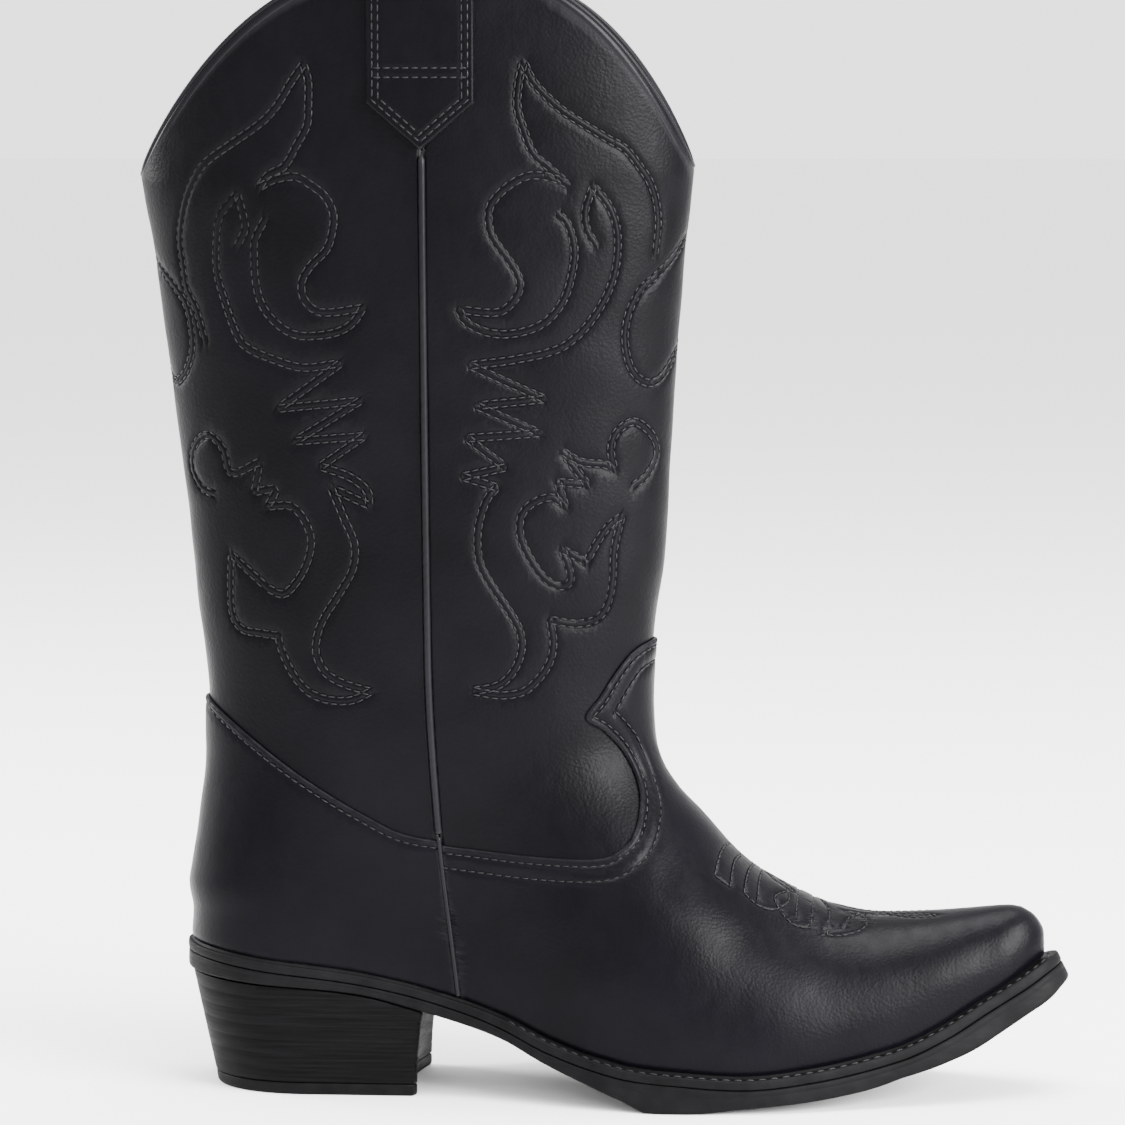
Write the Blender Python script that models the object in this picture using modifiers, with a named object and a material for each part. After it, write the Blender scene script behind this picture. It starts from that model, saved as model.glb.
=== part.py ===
"""Pointed-toe western boot for a right foot, as separate shells, soles, heel and fasteners.

Frame: +X to the toe, +Z up, +Y to the inner side of the foot. The origin is the bottom centre
of the bounding box. Shape constants are in millimetres; MM turns them into metres.
"""
import math

import bmesh
import bpy
import numpy as np
from mathutils import Matrix

MM = 0.001
OBJECT_NAME = "cowboy_boot"

# Side profiles of the base surface, (x, z). The base surface is the outer face of the shaft.
FRONT_PROFILE = ((144.3, 45.5), (144.2, 52.5), (142, 57.4), (135, 60.8), (113, 58.8), (92, 57.8),
                 (76.6, 59.8), (58.9, 67.2), (46.2, 75.4), (30.9, 91.5), (23.3, 99.5),
                 (18.1, 107.8), (15.8, 116.4), (15.1, 130), (16.6, 151), (20, 176), (21.7, 209),
                 (24, 242), (26.1, 270), (29, 302.5))
FRONT_STATIONS = (0, 0.05, 0.1, 0.15, 0.22, 0.26, 0.3, 0.345, 0.38, 0.44, 0.465, 0.49, 0.515,
                  0.55, 0.6, 0.66, 0.74, 0.83, 0.9, 1)
BACK_PROFILE = ((-136.5, 48), (-136, 58), (-137.3, 67), (-136.3, 73), (-133.3, 93), (-131.3, 113),
                (-131.5, 130), (-135, 160), (-138, 193), (-144.4, 242), (-148.7, 276), (-152.5, 299.5))
BACK_STATIONS = (0, 0.12, 0.25, 0.32, 0.44, 0.515, 0.57, 0.65, 0.73, 0.85, 0.93, 1)
SEAM_X = ((0, -46), (0.25, -50.5), (0.45, -53), (0.6, -55.5), (1, -57))
FOOT_BOW_END = 0.42
TOPLINE_BOW_START = 0.6
TOPLINE_RISE = 66
TOPLINE_POWER_FRONT = 3.0
TOPLINE_POWER_BACK = 2.35
FOOT_BOW_POWER = 1.5
TOPLINE_BOW_POWER = 1.6
FOOT_TOP = 108
LEG_FRONT = 76
LEG_BOTTOM = 100

# Heights along the foot, (x, z): the feather line, where the upper meets the welt, and the sole.
FEATHER = ((-140, 48.2), (-125, 46.5), (-110, 44.5), (-80, 40.5), (-65, 37.5), (-50, 33.5),
           (-30, 27), (-15, 20.5), (0, 16), (12, 13.5), (25, 12.5), (48, 11), (70, 12.8),
           (97, 18.2), (110, 23.6), (123, 31), (136, 38.5), (145, 44), (155, 49))
SOLE_BOTTOM = ((-142, 39.3), (-110, 37), (-80, 34), (-58, 28.6), (-44, 24.8), (-28, 20),
               (-14, 13.4), (0, 7.8), (10, 3.6), (18, 0), (30, 0), (50, 1.8), (70, 3.5), (85, 6),
               (97, 9.6), (110, 14.2), (123, 21), (136, 29), (155, 41.5))

# Half-widths: of the upper's outer face at the feather line, and of the leg.
PLAN_LATERAL = ((-140, 28), (-110, 29), (-80, 27.5), (-45, 28), (-20, 34), (5, 42), (25, 45.5),
                (50, 43.5), (85, 33), (110, 23.5), (130, 14.5), (146, 9))
PLAN_MEDIAL = ((-140, 28), (-110, 29), (-80, 26.5), (-45, 25), (-20, 30), (5, 38.5), (35, 45),
               (60, 41.5), (85, 32.5), (110, 22.5), (130, 14), (146, 9))
LEG_HALF_WIDTH = ((40, 33), (110, 31), (150, 32), (220, 34), (305, 36), (375, 36.5))
TOE_ROUND = 15
HEEL_ROUND = 34
HEEL_POWER = 2.2
PLAN_ENDS = (-138, 145)
ARCH_POWER = (1.9, 2.8)
ARCH_RANGE = (50, 120)
ARCH_BULGE = 0.22
ANKLE_BLEND = (55, 125)
HIDDEN_RIDGE = ((-160, 300), (-40, 205), (-10, 157), (4, 133), (12, 118.5))

# Layer offsets from the base surface, (outer face, thickness).
VAMP_LAYER = (1.5, 1.2)
SHAFT_LAYER = (0.0, 1.2)
LINING_LAYER = (-1.5, 0.8)
GAP = 0.3
SEAM_GAP = 1.4
COUNTER_SEAM_GAP = 0.6
LINING_SEAM_GAP = 0.2
UPPER_LIFT = 0.9
FOOT_LINING_TOP = 0.475
SHAFT_LINING_START = 0.478

# Side outlines of the panels, (x, z).
VAMP_EDGE = ((-60, 85), (-37, 82.3), (-18, 80.7), (-1.5, 80.3), (5.7, 82.3), (10.9, 87.7),
             (12.7, 96.8), (11.2, 104.6), (6.8, 113.6), (1.1, 120.4), (-4.9, 125.4),
             (-0.2, 132.4), (5.9, 141.7), (11.6, 147.5), (20, 151))
COUNTER_EDGE = ((-140, 137), (-132.8, 130.8), (-118.8, 120.5), (-104.2, 110.2), (-90.2, 101.2),
                (-76.7, 93.5), (-63.5, 87.4), (-45, 84.5))
SHAFT_LOWER_EDGE = ((-150, 125), (-128, 114), (-104, 98), (-76, 82), (-57, 74), (-18, 69), (4, 70),
                    (17, 76), (30, 92), (40, 120))
PUFF_EDGE = ((86, 0), (94, 30), (104, 70))
STIFFENER_FRONT = -82
STIFFENER_DROP = 1
PANEL_SPAN = 80
FAR = 200
TONGUE_CUT = 170
COUNTER_CUT = -30
FOOT_SHELL_TOP = 0.62
SHAFT_SHELL_START = 0.3
PUFF_TOP = 0.3
STIFFENER_TOP = 0.53

# Sole stack.
WELT_THICK = 3.0
WELT_OUTSET_TOE = 3.3
WELT_OUTSET_TIP = 5.0
WELT_OUTSET_HEEL = 1.0
WELT_FOREPART = (-70, -10)
WELT_TIP = (128, 145)
SQUARE_EDGE = (-60, 0)
WELT_INSET = 10
WELT_OPENING = (-134, 130)
FILLER_ENDS = (14, 124)
INSOLE_INSET = 5.8
INSOLE_THICK = 2.0
SOCK_THICK = 3.0
SHANK_HALF_WIDTH = 7
SHANK_THICK = 1.6
SHANK_DROP = 0.6
SHANK_ENDS = (-98, 6)

# Heel.
BREAST_X = -57.3
BREAST_HOLLOW = 4
HEEL_BACK_TOP = -137.5
HEEL_BACK_FLOOR = -129.5
HEEL_FLOOR_BREAST = -59.5
HEEL_HALF_TOP = 29
HEEL_HALF_FLOOR = 26.5
LIFT_THICK = 4.0
LIFT_SHARE = 0.06
BLOCK_SHARES = (0.08, 0.35, 0.65)
SEAT_LEVEL = 26
NAIL_PLACES = ((-119, 0), (-106, 13), (-106, -13), (-84, 13), (-84, -13))
NAIL_LENGTH = 24
NAIL_POINT = 3
NAIL_RADIUS = 1.0
NAIL_HEAD_RADIUS = 2.4
NAIL_HEAD_THICK = 0.6
NAIL_HEAD_LIFT = 0.6
SOCK_LIFT = 2.0

# Trim and pull straps.
PIPING_RADIUS = 1.1
PIPING_SINK = 0.1
PIPING_BOTTOM = 87.5
PIPING_TOP_GAP = 1.5
BINDING_RADIUS = 1.3
BINDING_DEPTH = 1.15
BINDING_SAG = 0.15
STRAP_HALF_WIDTH = 17.3
STRAP_THICK = 1.75
STRAP_OUTER_OFFSET = 2.2
STRAP_INNER_OFFSET = -3.6
STRAP_TIP_Z = 310
STRAP_CORNER_Z = 325
STRAP_TOP_Z = 369
LOOP_PIVOT_Z = 371.6
LOOP_RISE = 24
LOOP_BULGE = 8

RING_STEPS = 32
ROWS = (0, 0.035, 0.075, 0.12, 0.17, 0.22, 0.27, 0.32, 0.37, 0.42, 0.475, 0.53, 0.6, 0.68, 0.76,
        0.84, 0.91, 0.96, 1)


def smooth(at, points):
    """Monotone cubic through (x, y) points, with x rising."""
    xs, ys = np.array(points, float).T
    steps = np.diff(xs)
    slopes = np.diff(ys) / steps
    inner = np.where(slopes[:-1] * slopes[1:] > 0,
                     2 * slopes[:-1] * slopes[1:] / np.where(slopes[:-1] + slopes[1:] == 0, 1,
                                                            slopes[:-1] + slopes[1:]), 0)
    tangents = np.concatenate([slopes[:1], inner, slopes[-1:]])
    at = np.clip(np.asarray(at, float), xs[0], xs[-1])
    i = np.clip(np.searchsorted(xs, at) - 1, 0, len(steps) - 1)
    s = (at - xs[i]) / steps[i]
    return (ys[i] * (1 + 2 * s) * (1 - s) ** 2 + ys[i + 1] * s * s * (3 - 2 * s)
            + steps[i] * (tangents[i] * s * (1 - s) ** 2 - tangents[i + 1] * s * s * (1 - s)))


def ramp(value, low, high):
    """Smooth step from 0 at low to 1 at high."""
    s = np.clip((value - low) / (high - low), 0, 1)
    return s * s * (3 - 2 * s)


def along(stations, profile, t):
    """Point (x, z) of a profile at station t."""
    xs = [(s, p[0]) for s, p in zip(stations, profile)]
    zs = [(s, p[1]) for s, p in zip(stations, profile)]
    return smooth(t, xs), smooth(t, zs)


DENSE = np.linspace(0, 1, 800)
FRONT_X, FRONT_Z = along(FRONT_STATIONS, FRONT_PROFILE, DENSE)
BACK_X, BACK_Z = along(BACK_STATIONS, BACK_PROFILE, DENSE)
FOOT_PART = FRONT_Z < FOOT_TOP
RIDGE_X = np.concatenate([np.array(HIDDEN_RIDGE)[:, 0], FRONT_X[FOOT_PART][::-1]])
RIDGE_Z = np.concatenate([np.array(HIDDEN_RIDGE)[:, 1], FRONT_Z[FOOT_PART][::-1]])
RIDGE_ORDER = np.maximum.accumulate(RIDGE_X)
LEG_PART = (FRONT_X < LEG_FRONT) | (FRONT_Z > LEG_BOTTOM)


def feather(x):
    """Height of the line where the upper meets the welt."""
    return smooth(x, FEATHER)


def plan_half_width(x, medial):
    """Half-width of the upper at the feather line, with the toe tip rounded."""
    width = np.where(medial, smooth(x, PLAN_MEDIAL), smooth(x, PLAN_LATERAL))
    reach = np.clip((PLAN_ENDS[1] - x) / TOE_ROUND, 0, 1)
    return width * np.sqrt(1 - (1 - reach) ** 2)


def half_width(x, z, medial):
    """Half-width of the base surface at a point of the side view."""
    back = np.interp(z, BACK_Z, BACK_X)
    front = np.interp(z, np.concatenate([FRONT_Z[:1], FRONT_Z[LEG_PART]]),
                      np.concatenate([FRONT_X[:1], FRONT_X[LEG_PART]]))
    middle = (front + back) / 2
    reach = np.clip((x - middle) / ((front - back) / 2), -1, 1)
    leg = smooth(z, LEG_HALF_WIDTH) * np.sqrt(1 - reach ** 2)
    low = feather(x)
    ridge = np.interp(x, RIDGE_ORDER, RIDGE_Z)
    rise = np.clip((z - low) / np.maximum(ridge - low, 0.5), 0, 1)
    power = ARCH_POWER[0] + (ARCH_POWER[1] - ARCH_POWER[0]) * ramp(x, *ARCH_RANGE)
    arch = np.sqrt(1 - rise ** power) * (1 + ARCH_BULGE * rise * (1 - rise) ** 2)
    heel_reach = np.clip((x - back) / HEEL_ROUND, 0, 1)
    heel = np.sqrt(1 - (1 - heel_reach) ** HEEL_POWER)
    foot = np.maximum(plan_half_width(x, medial) - VAMP_LAYER[0], 0.0) * arch * heel
    mix = ramp(z, *ANKLE_BLEND)
    return foot * (1 - mix) + leg * mix


def topline_bow(across):
    """Rise of the topline above its dips, across from 0 at the front to 1 at the back."""
    reach = 1 - 2 * across
    power = np.where(reach > 0, TOPLINE_POWER_FRONT, TOPLINE_POWER_BACK)
    return TOPLINE_RISE * (1 - np.abs(reach) ** power)


def base_point(t, theta):
    """Point of the base surface: ring t from the feather line (0) to the topline (1).

    theta runs from the front (0) over the lateral side seam (pi/2) to the back (pi).
    """
    front_x, front_z = along(FRONT_STATIONS, FRONT_PROFILE, t)
    back_x, back_z = along(BACK_STATIONS, BACK_PROFILE, t)
    seam = smooth(t, SEAM_X)
    turn = np.cos(theta)
    x = seam + np.where(turn > 0, (front_x - seam) * turn, (seam - back_x) * turn)
    across = (front_x - x) / (front_x - back_x)
    toe, heel = FRONT_PROFILE[0], BACK_PROFILE[0]
    foot_x = toe[0] + (heel[0] - toe[0]) * across
    foot_bow = feather(foot_x) + UPPER_LIFT - (toe[1] + (heel[1] - toe[1]) * across)
    foot_share = np.clip(1 - t / FOOT_BOW_END, 0, 1) ** FOOT_BOW_POWER
    top_share = np.clip((t - TOPLINE_BOW_START) / (1 - TOPLINE_BOW_START), 0, 1)
    top_share = top_share ** TOPLINE_BOW_POWER
    z = front_z * (1 - across) + back_z * across
    z = z + foot_share * foot_bow + top_share * topline_bow(across)
    side = np.sin(theta)
    width = half_width(x, z, side < 0)
    width = np.where(np.abs(side) < 1e-6, 0, width)
    return np.stack([x, -np.sign(side) * width, z], axis=-1)


def surface(t, theta, offset):
    """Point at a distance outside the base surface."""
    t = np.asarray(t, float)
    theta = np.asarray(theta, float)
    rise_step, turn_step = 0.004, 0.06
    low, high = np.clip(t - rise_step, 0, 1), np.clip(t + rise_step, 0, 1)
    rise = base_point(high, theta) - base_point(low, theta)
    turn = base_point(t, theta + turn_step) - base_point(t, theta - turn_step)
    normal = np.cross(rise, turn)
    normal /= np.linalg.norm(normal, axis=-1, keepdims=True)
    return base_point(t, theta) + normal * offset


def seam_angle(t, gap, backward):
    """Angle of the panel edge that stands a gap away from the side seam."""
    seam = smooth(t, SEAM_X)
    if backward:
        return np.arccos(-gap / (seam - along(BACK_STATIONS, BACK_PROFILE, t)[0]))
    return np.arccos(gap / (along(FRONT_STATIONS, FRONT_PROFILE, t)[0] - seam))


def clear_scene():
    """Remove every object that the file starts with."""
    for thing in list(bpy.data.objects):
        bpy.data.objects.remove(thing, do_unlink=True)


def make_collection(name):
    """New collection in the scene."""
    collection = bpy.data.collections.new(name)
    bpy.context.scene.collection.children.link(collection)
    return collection


def make_material(name, colour, roughness, metallic=0.0):
    """Principled material."""
    material = bpy.data.materials.new(name)
    material.use_nodes = True
    shader = material.node_tree.nodes["Principled BSDF"]
    shader.inputs["Base Color"].default_value = (*colour, 1)
    shader.inputs["Roughness"].default_value = roughness
    shader.inputs["Metallic"].default_value = metallic
    return material


def mesh_object(name, points, faces, collection, material=None):
    """Object from points in millimetres and faces, with doubles merged."""
    mesh = bpy.data.meshes.new(name)
    mesh.from_pydata([tuple(p) for p in np.asarray(points, float) * MM], [], faces)
    bm = bmesh.new()
    bm.from_mesh(mesh)
    bmesh.ops.remove_doubles(bm, verts=bm.verts, dist=0.00001)
    bmesh.ops.dissolve_degenerate(bm, edges=bm.edges, dist=0.00001)
    bm.to_mesh(mesh)
    bm.free()
    thing = bpy.data.objects.new(name, mesh)
    collection.objects.link(thing)
    if material:
        mesh.materials.append(material)
        mesh.shade_smooth()
        mesh.set_sharp_from_angle(angle=math.radians(40))
    return thing


def grid_faces(rows, columns):
    """Quads of a grid whose rows rise and whose columns turn from the front to the back."""
    return [(i * columns + j, (i + 1) * columns + j, (i + 1) * columns + j + 1, i * columns + j + 1)
            for i in range(rows - 1) for j in range(columns - 1)]


def panel_angles(t, backward, gap):
    """Angles across a front or back half, from one seam edge to the other."""
    half = np.arange(RING_STEPS // 4) * (2 * math.pi / RING_STEPS)
    middle = math.pi if backward else 0.0
    edge = abs(middle - float(seam_angle(t, gap, backward)))
    return middle + np.concatenate([[-edge], -half[:0:-1], half, [edge]])


def add_shell(name, layer, t_range, backward, gap, collection, material):
    """Half of the upper between two rings, with its two faces offset from the base surface."""
    outer, thickness = layer
    rows = [t for t in ROWS if t_range[0] < t < t_range[1]]
    rows = [t_range[0]] + rows + [t_range[1]]
    skins = []
    for offset in (outer, outer - thickness):
        skin = []
        for t in rows:
            angles = panel_angles(t, backward, gap)
            row = surface(np.full(len(angles), t), angles, offset)
            if t == 0:
                row[:, 2] = feather(row[:, 0]) + UPPER_LIFT
            skin.append(row)
        skins.append(np.array(skin))
    return block(name, skins[::-1], collection, material)


def prism(name, outline, collection):
    """Cutter: a side-view outline in millimetres, extruded both ways along Y."""
    curve = bpy.data.curves.new(name, "CURVE")
    curve.dimensions = "2D"
    curve.fill_mode = "BOTH"
    curve.extrude = PANEL_SPAN * MM
    spline = curve.splines.new("POLY")
    spline.points.add(len(outline) - 1)
    for point, (x, z) in zip(spline.points, outline):
        point.co = (x * MM, z * MM, 0, 1)
    spline.use_cyclic_u = True
    flat = bpy.data.objects.new(name + "_outline", curve)
    flat.matrix_world = Matrix.Rotation(math.pi / 2, 4, "X")
    collection.objects.link(flat)
    return curve_to_mesh(flat, name, collection)


def curve_to_mesh(source, name, collection, material=None):
    """Mesh object with a curve object's evaluated shape and place; the curve is removed."""
    bpy.context.view_layer.update()
    place = source.matrix_world.copy()
    mesh = bpy.data.meshes.new_from_object(
        source.evaluated_get(bpy.context.evaluated_depsgraph_get()))
    bm = bmesh.new()
    bm.from_mesh(mesh)
    bmesh.ops.remove_doubles(bm, verts=bm.verts, dist=0.00001)
    bmesh.ops.recalc_face_normals(bm, faces=bm.faces)
    bm.to_mesh(mesh)
    bm.free()
    bpy.data.objects.remove(source)
    thing = bpy.data.objects.new(name, mesh)
    thing.matrix_world = place
    collection.objects.link(thing)
    if material:
        mesh.materials.clear()
        mesh.materials.append(material)
    else:
        thing.display_type = "WIRE"
        thing.hide_render = True
    return thing


def cut(thing, cutter, operation="DIFFERENCE"):
    """Boolean modifier."""
    modifier = thing.modifiers.new(operation.lower(), "BOOLEAN")
    modifier.object = cutter
    modifier.operation = operation
    modifier.solver = "EXACT"
    modifier.use_self = True


def block(name, levels, collection, material):
    """Solid between stacked grids of points; each level is an array (stations, columns, 3)."""
    stations, columns = levels[0].shape[:2]
    rim = [(0, j) for j in range(columns)]
    rim += [(i, columns - 1) for i in range(1, stations)]
    rim += [(stations - 1, j) for j in range(columns - 2, -1, -1)]
    rim += [(i, 0) for i in range(stations - 2, 0, -1)]
    points = [p for level in (levels[0], levels[-1]) for p in level.reshape(-1, 3)]
    size = stations * columns

    def corner(level, i, j):
        return level * size + i * columns + j

    faces = []
    for i in range(stations - 1):
        for j in range(columns - 1):
            for ring in (((i, j), (i + 1, j), (i + 1, j + 1)), ((i, j), (i + 1, j + 1), (i, j + 1))):
                faces.append([corner(0, *c) for c in ring])
                faces.append([corner(1, *c) for c in ring[::-1]])
    loops = [[corner(0, *c) for c in rim]]
    for level in levels[1:-1]:
        loops.append(list(range(len(points), len(points) + len(rim))))
        points.extend(level[c] for c in rim)
    loops.append([corner(1, *c) for c in rim])
    for lower, upper in zip(loops, loops[1:]):
        for k in range(len(rim)):
            n = (k + 1) % len(rim)
            faces.append([lower[n], lower[k], upper[k], upper[n]])
    thing = mesh_object(name, points, faces, collection, material)
    fix_normals(thing.data)
    return thing


def fix_normals(mesh):
    """Turn every face outward."""
    bm = bmesh.new()
    bm.from_mesh(mesh)
    bmesh.ops.recalc_face_normals(bm, faces=bm.faces)
    bm.to_mesh(mesh)
    bm.free()


def plan_outline(outset, count, x_range=None):
    """Lateral and medial points (x, y) of the foot outline, heel to toe, moved out by outset(x)."""
    ends = x_range or PLAN_ENDS
    phase = np.linspace(math.pi, 0, count)
    x = (ends[0] + ends[1]) / 2 + (ends[1] - ends[0]) / 2 * np.cos(phase)
    sides = []
    for medial, sign in ((False, -1), (True, 1)):
        reach = np.clip((x - PLAN_ENDS[0]) / HEEL_ROUND, 0, 1)
        y = sign * plan_half_width(x, medial) * np.sqrt(1 - (1 - reach) ** HEEL_POWER)
        line = np.stack([x, y], axis=1)
        run = np.gradient(line, axis=0)
        out = np.stack([run[:, 1], -run[:, 0]], axis=1) * -sign
        out /= np.linalg.norm(out, axis=1, keepdims=True)
        if x_range is None:
            out[0], out[-1] = (-1, 0), (1, 0)
        sides.append(line + out * outset(x)[:, None])
    return np.stack(sides, axis=1)


def welt_outset(x):
    """Ledge of the welt beyond the upper, narrow at the heel and widest at the toe tip."""
    forepart = (WELT_OUTSET_TOE - WELT_OUTSET_HEEL) * ramp(x, *WELT_FOREPART)
    return WELT_OUTSET_HEEL + forepart + (WELT_OUTSET_TIP - WELT_OUTSET_TOE) * ramp(x, *WELT_TIP)


def draped(outline, height):
    """Outline points (x, y) lifted to a height that depends on x."""
    return np.concatenate([outline, height(outline[..., :1])], axis=-1)


def square_edge(outline, height):
    """Outline moved along the foot so that the edge stands square to the sole's run."""
    x = outline[..., 0]
    slope = (feather(x + 1) - feather(x - 1)) / 2 * ramp(x, *SQUARE_EDGE)
    moved = outline.copy()
    moved[..., 0] = x + slope * (feather(x) - height(x))
    return moved


def sole_bottom(x):
    """Height of the outsole's underside."""
    return smooth(x, SOLE_BOTTOM)


def add_plate(name, outset, top, bottom, count, collection, material, x_range=None):
    """Sole layer that drapes along the foot."""
    outline = plan_outline(outset if callable(outset) else lambda x: np.full_like(x, outset),
                           count, x_range)
    levels = [draped(square_edge(outline, height), height) for height in (bottom, top)]
    return block(name, levels, collection, material)


def add_welt(parts, cutters, material):
    """Welt around the sole, under the edge of the upper, with its middle cut out."""
    welt = add_plate("welt", welt_outset, feather, lambda x: feather(x) - WELT_THICK, 44, parts,
                     material)
    outline = plan_outline(lambda x: np.full_like(x, -WELT_INSET), 24, WELT_OPENING)
    levels = [draped(outline, lambda x: np.full_like(x, z)) for z in (-10, 90)]
    middle = block("welt_opening", levels, cutters, None)
    middle.display_type = "WIRE"
    middle.hide_render = True
    cut(welt, middle)


def heel_level(share, height, drop=0.0):
    """Grid of the heel's D-shaped section; share runs from 0 at the floor to 1 at the seat."""
    back = HEEL_BACK_FLOOR + (HEEL_BACK_TOP - HEEL_BACK_FLOOR) * share
    breast = HEEL_FLOOR_BREAST + (BREAST_X - HEEL_FLOOR_BREAST) * share ** 2
    half = HEEL_HALF_FLOOR + (HEEL_HALF_TOP - HEEL_HALF_FLOOR) * share
    stations = 1 - np.cos(np.linspace(0, math.pi / 2, 12))
    columns = np.linspace(-1, 1, 7)
    run, across = np.meshgrid(stations, columns, indexing="ij")
    front = breast - BREAST_HOLLOW * (1 - across ** 2)
    x = back + (front - back) * run
    reach = np.clip((x - back) / HEEL_ROUND, 0, 1)
    y = across * half * np.sqrt(1 - (1 - reach) ** HEEL_POWER)
    z = height(x) if callable(height) else np.full_like(x, height)
    return np.stack([x, y, z - drop], axis=-1)


def add_heel(collection, material, lift_material):
    """Heel block with its top-lift."""
    floor = LIFT_THICK + GAP
    levels = [heel_level(BLOCK_SHARES[0], floor)]
    for share in BLOCK_SHARES[1:]:
        levels.append(heel_level(share, floor + (SEAT_LEVEL - floor) * share))
    levels.append(heel_level(1, sole_bottom, GAP))
    block("heel_top_lift", [heel_level(0, 0.0), heel_level(LIFT_SHARE, LIFT_THICK)], collection,
          lift_material)
    return block("heel_block", levels, collection, material)


def cylinder(name, radius, low, high, place, collection, sides=12):
    """Upright cylinder between two heights."""
    bpy.ops.mesh.primitive_cylinder_add(vertices=sides, radius=radius * MM,
                                        depth=(high - low) * MM,
                                        location=(place[0] * MM, place[1] * MM,
                                                  (low + high) / 2 * MM))
    thing = bpy.context.object
    thing.name = thing.data.name = name
    for holder in thing.users_collection:
        holder.objects.unlink(thing)
    collection.objects.link(thing)
    return thing


def add_nails(parts, cutters, drilled, material):
    """Heel nails from the insole board down into the heel block, and their clearance holes."""
    for number, place in enumerate(NAIL_PLACES, start=1):
        seat = float(feather(place[0])) + GAP + INSOLE_THICK + NAIL_HEAD_LIFT
        profile = [(0, seat + NAIL_HEAD_THICK), (NAIL_HEAD_RADIUS, seat + NAIL_HEAD_THICK),
                   (NAIL_HEAD_RADIUS, seat), (NAIL_RADIUS, seat),
                   (NAIL_RADIUS, seat - NAIL_LENGTH + NAIL_POINT), (0, seat - NAIL_LENGTH)]
        nail = turned("heel_nail_%d" % number, profile, place, parts, material)
        nail.data.name = nail.name
        hole = cylinder("nail_hole_%d" % number, NAIL_RADIUS + GAP, seat - NAIL_LENGTH - 1,
                        seat + 1, place, cutters)
        hole.display_type = "WIRE"
        hole.hide_render = True
        for thing in drilled:
            cut(thing, hole)


def turned(name, profile, place, collection, material, steps=12):
    """Turned piece: a profile (radius, z) with a Screw modifier."""
    mesh = bpy.data.meshes.new(name)
    points = [(r * MM, 0, z * MM) for r, z in profile]
    mesh.from_pydata(points, [(i, i + 1) for i in range(len(points) - 1)], [])
    mesh.materials.append(material)
    thing = bpy.data.objects.new(name, mesh)
    thing.location = (place[0] * MM, place[1] * MM, 0)
    collection.objects.link(thing)
    screw = thing.modifiers.new("turn", "SCREW")
    screw.steps = steps
    screw.render_steps = steps
    screw.use_merge_vertices = True
    screw.merge_threshold = 0.00001
    screw.use_smooth_shade = True
    return thing


def tube(name, points, radius, collection, material, resolution=2):
    """Round trim along points in millimetres."""
    curve = bpy.data.curves.new(name, "CURVE")
    curve.dimensions = "3D"
    curve.bevel_depth = radius * MM
    curve.bevel_resolution = resolution
    curve.use_fill_caps = True
    spline = curve.splines.new("POLY")
    spline.points.add(len(points) - 1)
    for point, place in zip(spline.points, points):
        point.co = (*(place * MM), 1)
    curve.materials.append(material)
    thing = bpy.data.objects.new(name, curve)
    collection.objects.link(thing)
    return curve_to_mesh(thing, name, collection, material)


def station_at_seam(z, theta):
    """Ring whose seam point lies at height z."""
    stations = np.linspace(0, 1, 400)
    heights = base_point(stations, np.full_like(stations, theta))[:, 2]
    return float(np.interp(z, heights, stations))


def add_piping(name, theta, collection, material):
    """Raised bead in the side seam, from the vamp edge to the pull strap's point."""
    low = station_at_seam(PIPING_BOTTOM, theta)
    high = station_at_seam(STRAP_TIP_Z - PIPING_TOP_GAP, theta)
    stations = np.linspace(low, high, 16)
    points = surface(stations, np.full_like(stations, theta), -PIPING_SINK)
    return tube(name, points, PIPING_RADIUS, collection, material)


def add_binding(name, start, end, collection, material):
    """Edge binding along half of the topline."""
    edge = 0.004
    count = RING_STEPS // 2 - 1
    between = start + np.arange(1, count + 1) * (end - start) / (count + 1)
    angles = np.concatenate([[start + edge], between, [end - edge]])
    top = np.ones_like(angles)
    points = surface(top, angles, -BINDING_DEPTH)
    outward = surface(top, angles, 0) - points
    along_edge = surface(top, angles + 0.01, 0) - surface(top, angles - 0.01, 0)
    upward = np.cross(along_edge, outward)
    upward /= np.linalg.norm(upward, axis=1, keepdims=True)
    points += upward * (BINDING_RADIUS + GAP + BINDING_SAG)
    return tube(name, points, BINDING_RADIUS, collection, material, 1)


def seam_place(z, side):
    """Point of the base surface on a side seam at height z; side is -1 lateral, +1 medial."""
    theta = math.pi / 2 if side < 0 else 3 * math.pi / 2
    return base_point(np.array(station_at_seam(z, theta)), np.array(theta))


def strap_leg(name, side, outer_offset, collection, material):
    """Pull strap's leg on a shaft wall, with a pointed lower end."""
    middle = seam_place(STRAP_TOP_Z, side)[0]
    columns = np.linspace(-1, 1, 7)
    rows = []
    for share in np.linspace(0, 1, 6):
        row = []
        for across in columns:
            low = STRAP_TIP_Z + (STRAP_CORNER_Z - STRAP_TIP_Z) * abs(across)
            z = low + (STRAP_TOP_Z - low) * share
            x = middle + STRAP_HALF_WIDTH * across
            wall = float(half_width(np.array(x), np.array(z), side > 0))
            row.append((x, side * (wall + outer_offset), z))
        rows.append(row)
    grid = np.array(rows)
    points = grid.reshape(-1, 3)
    count = len(columns)
    faces = grid_faces(len(rows), count)
    if side < 0:
        faces = [f[::-1] for f in faces]
    leg = mesh_object(name, points, faces, collection, material)
    solidify = leg.modifiers.new("thickness", "SOLIDIFY")
    solidify.thickness = STRAP_THICK * MM
    solidify.offset = -1
    return leg


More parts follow.
